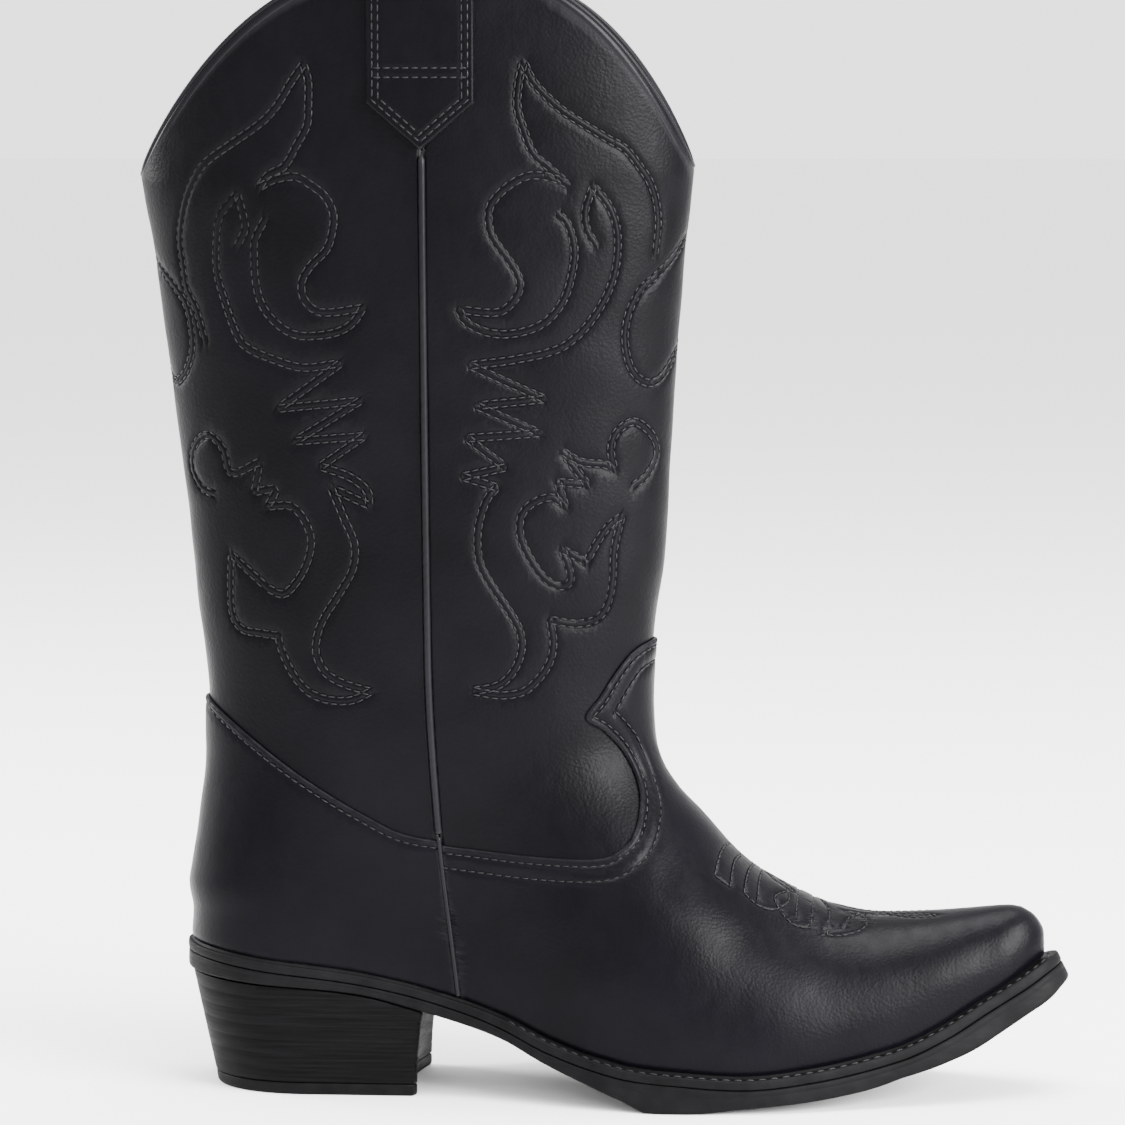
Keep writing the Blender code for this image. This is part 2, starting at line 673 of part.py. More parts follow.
def loop_profile():
    """Outer line of a strap loop, (across, up) from its tipping line, outside to inside."""
    outer = STRAP_OUTER_OFFSET + BINDING_DEPTH
    inner = STRAP_INNER_OFFSET - STRAP_THICK + BINDING_DEPTH
    turns = np.linspace(0, math.pi, 11)
    crown = LOOP_RISE - LOOP_BULGE
    arch = [(LOOP_BULGE * math.cos(a), crown + LOOP_BULGE * math.sin(a)) for a in turns]
    return np.array([(outer, 0)] + arch + [(inner, 0)])


def strap_loop(name, side, collection, material):
    """Arch of a pull strap above the topline; its origin lies on the line that it tips about."""
    line = loop_profile()
    run = np.gradient(line, axis=0)
    run[0], run[-1] = (0, 1), (0, -1)
    run /= np.linalg.norm(run, axis=1, keepdims=True)
    inside = line + np.stack([-run[:, 1], run[:, 0]], axis=1) * STRAP_THICK
    section = np.stack([line, inside], axis=1)
    levels = []
    for x in (-STRAP_HALF_WIDTH, STRAP_HALF_WIDTH):
        flat = np.full(section.shape[:2] + (1,), x)
        levels.append(np.concatenate([flat, section * (side, 1)], axis=-1))
    loop = block(name, levels, collection, material)
    middle, wall, _ = seam_place(STRAP_TOP_Z, side)
    depth = side * (abs(wall) - BINDING_DEPTH)
    loop.location = (middle * MM, depth * MM, LOOP_PIVOT_Z * MM)
    return loop


def add_upper(parts, cutters, leather, lining, board):
    """Shaft, vamp, counter, their linings and stiffeners."""
    vamp_start, counter_start, counter_end = VAMP_EDGE[0][0], COUNTER_EDGE[0], COUNTER_EDGE[-1]
    vamp_side = [(FAR, -FAR), (vamp_start, -FAR)] + list(VAMP_EDGE)
    vamp_side += [(VAMP_EDGE[-1][0], TONGUE_CUT), (FAR, TONGUE_CUT)]
    counter_side = [(-FAR, -FAR), (-FAR, counter_start[1])] + list(COUNTER_EDGE)
    counter_side += [(COUNTER_CUT, counter_end[1]), (COUNTER_CUT, -FAR)]
    shaft_side = list(SHAFT_LOWER_EDGE) + [(FAR, 2 * FAR), (-FAR, 2 * FAR)]
    puff_side = list(PUFF_EDGE) + [(FAR, PUFF_EDGE[-1][1]), (FAR, PUFF_EDGE[0][1])]
    stiffener_edge = np.array(SHAFT_LOWER_EDGE) - (0, STIFFENER_DROP)
    stiffener_top = np.interp(STIFFENER_FRONT, *stiffener_edge.T)
    stiffener_side = [(stiffener_edge[0][0], 0)]
    stiffener_side += [tuple(p) for p in stiffener_edge if p[0] < STIFFENER_FRONT]
    stiffener_side += [(STIFFENER_FRONT, stiffener_top), (STIFFENER_FRONT, 0)]
    shaft_cutter = prism("shaft_outline", shaft_side, cutters)
    vamp = add_shell("vamp", VAMP_LAYER, (0, FOOT_SHELL_TOP), False, COUNTER_SEAM_GAP, parts, leather)
    cut(vamp, prism("vamp_outline", vamp_side, cutters), "INTERSECT")
    counter = add_shell("heel_counter", VAMP_LAYER, (0, FOOT_SHELL_TOP), True, COUNTER_SEAM_GAP, parts,
                        leather)
    cut(counter, prism("counter_outline", counter_side, cutters), "INTERSECT")
    halves = (("front", False), ("back", True))
    for label, backward in halves:
        panel = add_shell("shaft_%s_panel" % label, SHAFT_LAYER, (SHAFT_SHELL_START, 1), backward, SEAM_GAP,
                          parts, leather)
        cut(panel, shaft_cutter, "INTERSECT")
        add_shell("shaft_%s_lining" % label, LINING_LAYER, (SHAFT_LINING_START, 1), backward,
                  LINING_SEAM_GAP, parts, lining)
    for name, backward in (("vamp_lining", False), ("heel_lining", True)):
        add_shell(name, LINING_LAYER, (0, FOOT_LINING_TOP), backward, LINING_SEAM_GAP, parts,
                  lining)
    puff = add_shell("toe_puff", SHAFT_LAYER, (0, PUFF_TOP), False, SEAM_GAP, parts, board)
    cut(puff, prism("puff_outline", puff_side, cutters), "INTERSECT")
    stiffener = add_shell("counter_stiffener", SHAFT_LAYER, (0, STIFFENER_TOP), True, SEAM_GAP,
                          parts, board)
    cut(stiffener, prism("stiffener_outline", stiffener_side, cutters), "INTERSECT")


def add_bottom(parts, cutters, board, sock, steel, cork, rubber, heel_material):
    """Insole board, sock liner, shank, filler, welt, outsole, heel and nails."""
    insole = add_plate("insole_board", -INSOLE_INSET, lambda x: feather(x) + GAP + INSOLE_THICK,
                       lambda x: feather(x) + GAP, 34, parts, board)
    sock_low = GAP + INSOLE_THICK + SOCK_LIFT
    add_plate("sock_liner", -INSOLE_INSET - 0.4, lambda x: feather(x) + sock_low + SOCK_THICK,
              lambda x: feather(x) + sock_low, 34, parts, sock)
    add_welt(parts, cutters, rubber)
    add_plate("bottom_filler", -WELT_INSET - 0.8, lambda x: feather(x) - GAP,
              lambda x: feather(x) - WELT_THICK + GAP, 20, parts, cork, FILLER_ENDS)
    shank_plan = np.stack(np.meshgrid(np.linspace(*SHANK_ENDS, 14),
                                      (-SHANK_HALF_WIDTH, SHANK_HALF_WIDTH), indexing="ij"), axis=-1)
    block("shank", [draped(shank_plan, lambda x: feather(x) - SHANK_DROP - SHANK_THICK),
                    draped(shank_plan, lambda x: feather(x) - SHANK_DROP)], parts, steel)
    outsole = add_plate("outsole", welt_outset, lambda x: feather(x) - WELT_THICK - GAP,
                        sole_bottom, 44, parts, rubber)
    heel = add_heel(parts, heel_material, rubber)
    add_nails(parts, cutters, (insole, outsole, heel), steel)


def add_trim(parts, leather, trim):
    """Piping, topline bindings and pull straps."""
    add_piping("lateral_side_piping", math.pi / 2, parts, trim)
    add_piping("medial_side_piping", 3 * math.pi / 2, parts, trim)
    add_binding("topline_binding_front", -math.pi / 2, math.pi / 2, parts, trim)
    add_binding("topline_binding_back", math.pi / 2, 3 * math.pi / 2, parts, trim)
    for label, side in (("lateral", -1), ("medial", 1)):
        strap_leg(label + "_strap_outer_leg", side, STRAP_OUTER_OFFSET, parts, leather)
        strap_leg(label + "_strap_inner_leg", side, STRAP_INNER_OFFSET, parts, leather)
        strap_loop(label + "_strap_loop", side, parts, leather)


def main():
    """Build the boot."""
    clear_scene()
    parts = make_collection(OBJECT_NAME)
    cutters = make_collection("cutters")
    leather = make_material("black_leather", (0.02, 0.019, 0.023), 0.42)
    trim = make_material("black_trim", (0.018, 0.017, 0.02), 0.38)
    lining = make_material("lining_textile", (0.03, 0.03, 0.032), 0.9)
    board = make_material("fibre_board", (0.32, 0.24, 0.16), 0.85)
    sock = make_material("sock_foam", (0.045, 0.045, 0.048), 0.85)
    steel = make_material("steel", (0.5, 0.5, 0.52), 0.35, 1.0)
    cork = make_material("cork_filler", (0.3, 0.2, 0.12), 0.9)
    rubber = make_material("sole_rubber", (0.028, 0.028, 0.03), 0.6)
    heel_material = make_material("heel_stack", (0.022, 0.022, 0.024), 0.5)
    add_upper(parts, cutters, leather, lining, board)
    add_bottom(parts, cutters, board, sock, steel, cork, rubber, heel_material)
    add_trim(parts, leather, trim)


main()
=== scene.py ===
"""Looks of the pointed-toe western boot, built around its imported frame.

Lengths are in millimetres and MM turns them into metres. +X is the toe, +Z is up and +Y is the
inner side of the foot. A place on the upper is (station, angle): the station runs from the
feather line (0) to the topline (1), and the angle from the front (0) over the outer side seam
(pi / 2) to the back (pi).
"""
import math

import bmesh
import bpy
import numpy as np
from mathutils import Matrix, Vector, kdtree
from mathutils.geometry import delaunay_2d_cdt


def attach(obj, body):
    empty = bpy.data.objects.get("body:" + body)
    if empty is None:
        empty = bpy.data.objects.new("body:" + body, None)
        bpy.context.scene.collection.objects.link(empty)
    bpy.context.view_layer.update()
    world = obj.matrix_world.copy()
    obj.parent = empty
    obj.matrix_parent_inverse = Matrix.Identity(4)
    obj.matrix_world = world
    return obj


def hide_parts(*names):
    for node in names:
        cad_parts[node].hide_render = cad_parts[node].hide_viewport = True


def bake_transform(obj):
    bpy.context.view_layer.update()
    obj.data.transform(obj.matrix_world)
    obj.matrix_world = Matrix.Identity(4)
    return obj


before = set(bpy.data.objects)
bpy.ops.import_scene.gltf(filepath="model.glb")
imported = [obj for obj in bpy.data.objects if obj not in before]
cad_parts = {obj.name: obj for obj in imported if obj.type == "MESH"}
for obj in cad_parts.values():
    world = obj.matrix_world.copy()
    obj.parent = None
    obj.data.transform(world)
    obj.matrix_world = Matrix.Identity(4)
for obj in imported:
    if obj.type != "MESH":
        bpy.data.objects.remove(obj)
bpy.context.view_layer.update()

MM = 0.001

# Side profiles of the base surface, (x, z), with their stations.
FRONT_PROFILE = ((144.3, 45.5), (144.2, 52.5), (142, 57.4), (135, 60.8), (113, 58.8), (92, 57.8),
                 (76.6, 59.8), (58.9, 67.2), (46.2, 75.4), (30.9, 91.5), (23.3, 99.5),
                 (18.1, 107.8), (15.8, 116.4), (15.1, 130), (16.6, 151), (20, 176), (21.7, 209),
                 (24, 242), (26.1, 270), (29, 302.5))
FRONT_STATIONS = (0, 0.05, 0.1, 0.15, 0.22, 0.26, 0.3, 0.345, 0.38, 0.44, 0.465, 0.49, 0.515,
                  0.55, 0.6, 0.66, 0.74, 0.83, 0.9, 1)
BACK_PROFILE = ((-136.5, 48), (-136, 58), (-137.3, 67), (-136.3, 73), (-133.3, 93), (-131.3, 113),
                (-131.5, 130), (-135, 160), (-138, 193), (-144.4, 242), (-148.7, 276),
                (-152.5, 299.5))
BACK_STATIONS = (0, 0.12, 0.25, 0.32, 0.44, 0.515, 0.57, 0.65, 0.73, 0.85, 0.93, 1)
SEAM_X = ((0, -46), (0.25, -50.5), (0.45, -53), (0.6, -55.5), (1, -57))
# Station of SEAM_X that only the first seam table uses; the even one leaves it out.
FIRST_SEAM_ONLY = 0.25
FOOT_BOW_END = 0.42
TOPLINE_BOW_START = 0.6
TOPLINE_RISE = 66
TOPLINE_POWER_FRONT = 3.0
TOPLINE_POWER_BACK = 2.35
FOOT_BOW_POWER = 1.5
TOPLINE_BOW_POWER = 1.6
FOOT_TOP = 108
LEG_FRONT = 76
LEG_BOTTOM = 100

# Heights along the foot, (x, z): the feather line and the underside of the outsole.
FEATHER = ((-140, 48.2), (-125, 46.5), (-110, 44.5), (-80, 40.5), (-65, 37.5), (-50, 33.5),
           (-30, 27), (-15, 20.5), (0, 16), (12, 13.5), (25, 12.5), (48, 11), (70, 12.8),
           (97, 18.2), (110, 23.6), (123, 31), (136, 38.5), (145, 44), (155, 49))
SOLE_BOTTOM = ((-142, 39.3), (-110, 37), (-80, 34), (-58, 28.6), (-44, 24.8), (-28, 20),
               (-14, 13.4), (0, 7.8), (10, 3.6), (18, 0), (30, 0), (50, 1.8), (70, 3.5), (85, 6),
               (97, 9.6), (110, 14.2), (123, 21), (136, 29), (155, 41.5))
PLAN_LATERAL = ((-140, 28), (-110, 29), (-80, 27.5), (-45, 28), (-20, 34), (5, 42), (25, 45.5),
                (50, 43.5), (85, 33), (110, 23.5), (130, 14.5), (146, 9))
PLAN_MEDIAL = ((-140, 28), (-110, 29), (-80, 26.5), (-45, 25), (-20, 30), (5, 38.5), (35, 45),
               (60, 41.5), (85, 32.5), (110, 22.5), (130, 14), (146, 9))
LEG_HALF_WIDTH = ((40, 33), (110, 31), (150, 32), (220, 34), (305, 36), (375, 36.5))
TOE_ROUND = 15
HEEL_ROUND = 34
HEEL_POWER = 2.2
PLAN_ENDS = (-138, 145)
ARCH_POWER = (1.9, 2.8)
ARCH_RANGE = (50, 120)
ARCH_BULGE = 0.22
ANKLE_BLEND = (55, 125)
HIDDEN_RIDGE = ((-160, 300), (-40, 205), (-10, 157), (4, 133), (12, 118.5))
UPPER_LIFT = 0.9

# Layers of the upper: distance of the outer face from the base surface, and thickness.
VAMP_OFFSET = 1.5
SHAFT_OFFSET = 0.0
LINING_OFFSET = -1.5
LEATHER_THICK = 1.2
LINING_THICK = 0.8

# Side outlines of the panels, (x, z).
VAMP_EDGE = ((-60, 85), (-37, 82.3), (-18, 80.7), (-1.5, 80.3), (5.7, 82.3), (10.9, 87.7),
             (12.7, 96.8), (11.2, 104.6), (6.8, 113.6), (1.1, 120.4), (-4.9, 125.4),
             (-0.2, 132.4), (5.9, 141.7), (11.6, 147.5), (20, 151))
COUNTER_EDGE = ((-140, 137), (-132.8, 130.8), (-118.8, 120.5), (-104.2, 110.2), (-90.2, 101.2),
                (-76.7, 93.5), (-63.5, 87.4), (-45, 84.5))
SHAFT_LOWER_FRONT = ((-60, 74), (-18, 69), (4, 70), (17, 76), (30, 91.5))
SHAFT_LOWER_BACK = ((-140, 120), (-128, 114), (-104, 98), (-76, 82), (-50, 73.5))

# Stitched pattern of the shaft, as strokes of the side view, (x, z). Both panels are symmetric.
FRONT_PATTERN = (
    ((-24, 338), (-21, 332), (-16, 326.5), (-10, 321.5), (2, 314), (8, 310.5), (12.5, 305),
     (16, 299.5), (18, 293), (18.5, 285.5), (17.5, 276)),
    ((-24, 338), (-25.5, 332), (-26, 324), (-24, 316.5), (-21, 309), (-16, 304.5), (-10, 299)),
    ((-10, 299), (-14.5, 301), (-21, 302), (-26, 300.5), (-31.5, 296.5), (-35, 291.5),
     (-35, 285), (-33, 280.5), (-29, 275), (-26, 270), (-25.5, 265.5), (-28.5, 260.5),
     (-33.5, 258), (-45, 259)),
    ((-45, 259), (-42.5, 255), (-37, 252), (-30, 251), (-22, 252.5), (-16, 256), (-11.5, 262),
     (-9, 269.5), (-8, 278), (-10, 286), (-13, 289.5)),
    ((-2, 298.5), (3, 292), (5.5, 284.5), (5.5, 275), (3.5, 266.5), (-0.5, 258.5), (-5.5, 252),
     (-11.5, 247), (-18, 244.5)),
    ((-2, 298.5), (-4.5, 291), (-4, 284.5), (-1, 279.5)),
    ((-18, 244.5), (-29, 242.5), (-41.5, 241)),
    ((-41.5, 241), (-17.5, 230)),
    ((-17.5, 230), (-39.5, 228)),
    ((-39.5, 228), (-19, 219)),
    ((-19, 219), (-42.5, 217.5)),
    ((-42.5, 217.5), (-30, 208)),
    ((-30, 208), (-44, 205)),
    ((-44, 205), (-33, 201.5)),
    ((-33, 201.5), (-36.5, 197), (-39, 188.5), (-39, 179.5), (-36.5, 172.5), (-28.5, 160),
     (-25.5, 153.5), (-25.5, 147), (-28.5, 140.5), (-33.5, 136.5), (-41, 135)),
    ((-41, 135), (-32, 133.5), (-25, 134.5), (-20.5, 138), (-16.5, 143.5), (-15, 150),
     (-16, 158)),
    ((-16, 158), (-7.5, 156.5), (-1, 158), (2.5, 163), (4, 171), (4.5, 180.5), (7, 191.5)),
    ((7, 191.5), (2.5, 188), (-1, 183), (-4.5, 176.5)),
    ((-4.5, 176.5), (-7.5, 178.5), (-12, 181)),
    ((-12, 181), (-10, 175), (-9.5, 170.5), (-13, 169), (-18, 172), (-22.5, 178.5),
     (-25.5, 186), (-25, 192.5), (-21, 196.5), (-15.5, 198), (-11, 195)),
    ((-11, 195), (-13.5, 203)),
    ((-13.5, 203), (-4, 202)),
    ((-4, 202), (-12, 213)),
    ((-12, 213), (-6, 209.5), (1, 208.5), (4.5, 207)),
    ((4.5, 207), (3.5, 213.5), (5.5, 219), (11, 222), (16.5, 217.5), (18, 211), (15, 204.5),
     (10.5, 201)),
    ((28, 283), (23.9, 276), (18, 269.5), (13, 265), (9.5, 258.5), (8, 250.5), (9, 242),
     (12, 236.5), (16.5, 234.5), (21, 238), (26, 249)),
)
BACK_PATTERN = (
    ((-95, 337.5), (-99, 332), (-104.5, 323.5), (-111, 317.5), (-125.5, 308), (-130.5, 303.5),
     (-134.5, 296.5), (-137, 288.5), (-138, 280.5), (-137, 272), (-136, 265), (-132.5, 258),
     (-129.5, 247.5)),
    ((-95, 337.5), (-93.5, 332), (-93.5, 324), (-94, 318), (-97.5, 311.5), (-101.5, 305),
     (-107, 302), (-110, 298)),
    ((-110, 298), (-105, 300.5), (-98, 301.5), (-93, 299), (-88, 295), (-85.5, 289.5),
     (-86, 283.5), (-88, 278), (-93, 273), (-96, 268), (-95.5, 262.5), (-91.5, 258.5),
     (-86, 258), (-76, 259.5)),
    ((-76, 259.5), (-79, 255), (-83.5, 252), (-90, 250.5), (-98, 250.5), (-104.5, 254),
     (-109.5, 260), (-111.5, 267), (-112, 275), (-111.5, 281.5), (-108, 288)),
    ((-117.5, 296), (-123.5, 288.5), (-125, 279.5), (-125, 271), (-123, 263), (-118.5, 250.5),
     (-114.5, 246), (-106, 242.5), (-96, 240), (-83.5, 241.5)),
    ((-117.5, 296), (-115.5, 289), (-115, 284.5), (-118, 278.5)),
    ((-83.5, 241.5), (-104.5, 226.5)),
    ((-104.5, 226.5), (-77, 229.5)),
    ((-77, 229.5), (-99, 216)),
    ((-99, 216), (-76, 218)),
    ((-76, 218), (-90.5, 208)),
    ((-90.5, 208), (-80.5, 204.5), (-75, 200), (-74.5, 195.5)),
    ((-74.5, 195.5), (-87, 201)),
    ((-87, 201), (-83, 191.5), (-79.5, 183), (-80, 175), (-84, 167.5), (-89.5, 159),
     (-92, 153), (-92.5, 146.5), (-89.5, 140.5), (-83.5, 137), (-74.5, 134.5)),
    ((-74.5, 134.5), (-81, 131.5), (-89, 131.5), (-95.5, 134), (-100.5, 139.5), (-104, 146.5),
     (-105.5, 152)),
    ((-105.5, 152), (-111, 152.5), (-118, 153.5), (-121.5, 158.5), (-122, 168.5),
     (-121.5, 178)),
    ((-121.5, 178), (-113, 171), (-109, 167.5)),
    ((-109, 167.5), (-103, 166), (-97, 173), (-94, 181.5), (-95, 188), (-100, 194.5),
     (-108.5, 194.5)),
    ((-108.5, 194.5), (-106, 200), (-113, 199)),
    ((-113, 199), (-111, 209)),
    ((-111, 209), (-121, 205), (-124, 213), (-129.5, 217), (-134.5, 213), (-135.5, 206),
     (-132, 199.5), (-127, 197.5)),
    ((-151, 279), (-146.5, 272), (-141, 266), (-136.5, 260), (-134.5, 252), (-134.5, 244),
     (-137.5, 237), (-141.5, 234), (-144, 238), (-147, 247)),
)
ROW_PAIR = 2.3

# Stitched bug of the vamp in plan, (x, y), on the outer side; the inner side mirrors it.
TOE_PATTERN = (
    ((41, 0), (38.5, -12), (37, -21.5)),
    ((37, -21.5), (42, -21)),
    ((42, -21), (43, -10), (45, 0)),
    ((49, 0), (47.5, -10), (46.5, -19.5)),
    ((46.5, -19.5), (51.5, -20.5), (57, -18.5), (61, -12), (60, -5), (56, -3), (54, 0)),
    ((52, 0), (51.3, -10), (51, -19)),
    ((58, 0), (62, -4), (59, -9), (56.5, -14), (58.5, -18.5)),
    ((58.5, -18.5), (63, -20.5), (68.5, -19)),
    ((69, 0), (69, -10), (68.5, -19)),
    ((64, 0), (63.8, -10), (63.5, -18.5)),
    ((72, 0), (74.5, -8), (74, -19)),
    ((74, -19), (79.5, -17.5), (85.5, -13.5), (87, -9), (84, -4), (80, -5), (83, -8),
     (87, -4.5), (94, -2.5)),
    ((79.5, -15), (81.5, -8), (86, -3)),
    ((94, -2.5), (102, -5.5), (110, -5), (117, -2), (119, 0)),
)

RNG = np.random.default_rng(7)
TABLE_POINTS = 3000
HALVINGS = 26


def smooth(at, points):
    """Monotone cubic through (x, y) points, with x rising."""
    xs, ys = np.array(points, float).T
    steps = np.diff(xs)
    slopes = np.diff(ys) / steps
    inner = np.where(slopes[:-1] * slopes[1:] > 0,
                     2 * slopes[:-1] * slopes[1:] / np.where(slopes[:-1] + slopes[1:] == 0, 1,
                                                            slopes[:-1] + slopes[1:]), 0)
    tangents = np.concatenate([slopes[:1], inner, slopes[-1:]])
    at = np.clip(np.asarray(at, float), xs[0], xs[-1])
    i = np.clip(np.searchsorted(xs, at) - 1, 0, len(steps) - 1)
    s = (at - xs[i]) / steps[i]
    return (ys[i] * (1 + 2 * s) * (1 - s) ** 2 + ys[i + 1] * s * s * (3 - 2 * s)
            + steps[i] * (tangents[i] * s * (1 - s) ** 2 - tangents[i + 1] * s * s * (1 - s)))


def ramp(value, low, high):
    """Smooth step from 0 at low to 1 at high."""
    s = np.clip((value - low) / (high - low), 0, 1)
    return s * s * (3 - 2 * s)


def along(stations, profile, t):
    """Point (x, z) of a profile at station t."""
    xs = [(s, p[0]) for s, p in zip(stations, profile)]
    zs = [(s, p[1]) for s, p in zip(stations, profile)]
    return smooth(t, xs), smooth(t, zs)


def lookup(points):
    """Dense table (x, y) of a smooth curve, for quick reading."""
    xs = np.linspace(points[0][0], points[-1][0], TABLE_POINTS)
    return xs, smooth(xs, points)


FEATHER_LINE = lookup(FEATHER)
SOLE_LINE = lookup(SOLE_BOTTOM)
LATERAL_LINE = lookup(PLAN_LATERAL)
MEDIAL_LINE = lookup(PLAN_MEDIAL)
LEG_LINE = lookup(LEG_HALF_WIDTH)
SEAM_LINE = lookup(SEAM_X)
DENSE = np.linspace(0, 1, TABLE_POINTS)
FRONT_X, FRONT_Z = along(FRONT_STATIONS, FRONT_PROFILE, DENSE)
BACK_X, BACK_Z = along(BACK_STATIONS, BACK_PROFILE, DENSE)
TOE_BOW = float(np.interp(FRONT_PROFILE[0][0], *FEATHER_LINE)) + UPPER_LIFT - FRONT_PROFILE[0][1]
BOWED_Z = FRONT_Z + np.clip(1 - DENSE / FOOT_BOW_END, 0, 1) ** FOOT_BOW_POWER * TOE_BOW
FOOT_PART = FRONT_Z < FOOT_TOP
RIDGE_X = np.concatenate([np.array(HIDDEN_RIDGE)[:, 0], FRONT_X[FOOT_PART][::-1]])
RIDGE_Z = np.concatenate([np.array(HIDDEN_RIDGE)[:, 1], BOWED_Z[FOOT_PART][::-1]])
RIDGE_ORDER = np.maximum.accumulate(RIDGE_X)
LEG_PART = (FRONT_X < LEG_FRONT) | (FRONT_Z > LEG_BOTTOM)


def feather(x):
    """Height of the line where the upper meets the welt."""
    return np.interp(x, *FEATHER_LINE)


def sole_bottom(x):
    """Height of the outsole's underside."""
    return np.interp(x, *SOLE_LINE)


def plan_half_width(x, medial):
    """Half-width of the upper at the feather line, with the toe tip rounded."""
    width = np.where(medial, np.interp(x, *MEDIAL_LINE), np.interp(x, *LATERAL_LINE))
    reach = np.clip((PLAN_ENDS[1] - x) / TOE_ROUND, 0, 1)
    return width * np.sqrt(1 - (1 - reach) ** 2)


def half_width(x, z, medial):
    """Half-width of the base surface at a point of the side view."""
    back = np.interp(z, BACK_Z, BACK_X)
    front = np.interp(z, np.concatenate([FRONT_Z[:1], FRONT_Z[LEG_PART]]),
                      np.concatenate([FRONT_X[:1], FRONT_X[LEG_PART]]))
    middle = (front + back) / 2
    reach = np.clip((x - middle) / ((front - back) / 2), -1, 1)
    leg = np.interp(z, *LEG_LINE) * np.sqrt(1 - reach ** 2)
    low = feather(x)
    ridge = np.interp(x, RIDGE_ORDER, RIDGE_Z)
    rise = np.clip((z - low) / np.maximum(ridge - low, 0.5), 0, 1)
    power = ARCH_POWER[0] + (ARCH_POWER[1] - ARCH_POWER[0]) * ramp(x, *ARCH_RANGE)
    arch = np.sqrt(1 - rise ** power) * (1 + ARCH_BULGE * rise * (1 - rise) ** 2)
    heel_reach = np.clip((x - back) / HEEL_ROUND, 0, 1)
    heel = np.sqrt(1 - (1 - heel_reach) ** HEEL_POWER)
    foot = np.maximum(plan_half_width(x, medial) - VAMP_OFFSET, 0.0) * arch * heel
    mix = ramp(z, *ANKLE_BLEND)
    return foot * (1 - mix) + leg * mix


def topline_bow(across):
    """Rise of the topline above its dips, across from 0 at the front to 1 at the back."""
    reach = 1 - 2 * across
    power = np.where(reach > 0, TOPLINE_POWER_FRONT, TOPLINE_POWER_BACK)
    return TOPLINE_RISE * (1 - np.abs(reach) ** power)


def base_point(t, theta):
    """Point of the base surface at a station and an angle."""
    front_x, front_z = np.interp(t, DENSE, FRONT_X), np.interp(t, DENSE, FRONT_Z)
    back_x, back_z = np.interp(t, DENSE, BACK_X), np.interp(t, DENSE, BACK_Z)
    seam = np.interp(t, *SEAM_LINE)
    turn = np.cos(theta)
    x = seam + np.where(turn > 0, (front_x - seam) * turn, (seam - back_x) * turn)
    across = (front_x - x) / (front_x - back_x)
    toe, heel = FRONT_PROFILE[0], BACK_PROFILE[0]
    foot_x = toe[0] + (heel[0] - toe[0]) * across
    foot_bow = feather(foot_x) + UPPER_LIFT - (toe[1] + (heel[1] - toe[1]) * across)
    foot_share = np.clip(1 - t / FOOT_BOW_END, 0, 1) ** FOOT_BOW_POWER
    top_share = np.clip((t - TOPLINE_BOW_START) / (1 - TOPLINE_BOW_START), 0, 1)
    top_share = top_share ** TOPLINE_BOW_POWER
    z = front_z * (1 - across) + back_z * across
    z = z + foot_share * foot_bow + top_share * topline_bow(across)
    side = np.sin(theta)
    width = half_width(x, z, side < 0)
    width = np.where(np.abs(side) < 1e-6, 0, width)
    return np.stack([x, -np.sign(side) * width, z], axis=-1)


def even_seam():
    """Side seam whose run changes evenly with height, as a table over the stations."""
    heights = base_point(DENSE, np.full_like(DENSE, math.pi / 2))[:, 2]
    knots = [(float(np.interp(t, DENSE, heights)), x) for t, x in SEAM_X
             if t != FIRST_SEAM_ONLY]
    return DENSE, smooth(heights, knots)


def unit(vectors):
    """Vectors at unit length."""
    return vectors / np.maximum(np.linalg.norm(vectors, axis=-1, keepdims=True), 1e-9)


SEAM_LINE = even_seam()


def normals(t, theta):
    """Outward normals of the base surface."""
    rise_step, turn_step = 0.004, 0.06
    low, high = np.clip(t - rise_step, 0, 1), np.clip(t + rise_step, 0, 1)
    rise = base_point(high, theta) - base_point(low, theta)
    turn = base_point(t, theta + turn_step) - base_point(t, theta - turn_step)
    return unit(np.cross(rise, turn))


def surface(t, theta, offset):
    """Point at a distance outside the base surface."""
    t, theta = np.asarray(t, float), np.asarray(theta, float)
    return base_point(t, theta) + normals(t, theta) * np.asarray(offset)[..., None]


def seam_angle(t, gap, backward):
    """Angle of the panel edge that stands a gap away from the outer side seam."""
    seam = np.interp(t, *SEAM_LINE)
    if backward:
        return np.arccos(-gap / (seam - np.interp(t, DENSE, BACK_X)))
    return np.arccos(gap / (np.interp(t, DENSE, FRONT_X) - seam))


def angle_at(t, x):
    """Angle on the outer side where the ring t stands at x."""
    seam = np.interp(t, *SEAM_LINE)
    front = np.interp(t, DENSE, FRONT_X)
    back = np.interp(t, DENSE, BACK_X)
    share = np.where(x > seam, (x - seam) / (front - seam), (x - seam) / (seam - back))
    return np.arccos(np.clip(share, -1, 1))


def locate(points):
    """Places (station, angle) on the outer side of side-view points (x, z)."""
    x, z = np.array(points, float).T
    low, high = np.zeros_like(x), np.ones_like(x)
    for _ in range(HALVINGS):
        middle = (low + high) / 2
        above = base_point(middle, angle_at(middle, x))[:, 2] > z
        high = np.where(above, middle, high)
        low = np.where(above, low, middle)
    return np.stack([low, angle_at(low, x)], axis=1)


def locate_plan(points):
    """Places on the top of the foot of plan points (x, y) on the outer side."""
    x, y = np.array(points, float).T
    ridge = np.interp(x, RIDGE_ORDER, RIDGE_Z)
    low, high = feather(x) + 1, ridge
    for _ in range(HALVINGS):
        middle = (low + high) / 2
        wide = half_width(x, middle, np.zeros(len(x), bool)) > -y
        low = np.where(wide, middle, low)
        high = np.where(wide, high, middle)
    return locate(np.stack([x, low], axis=1))


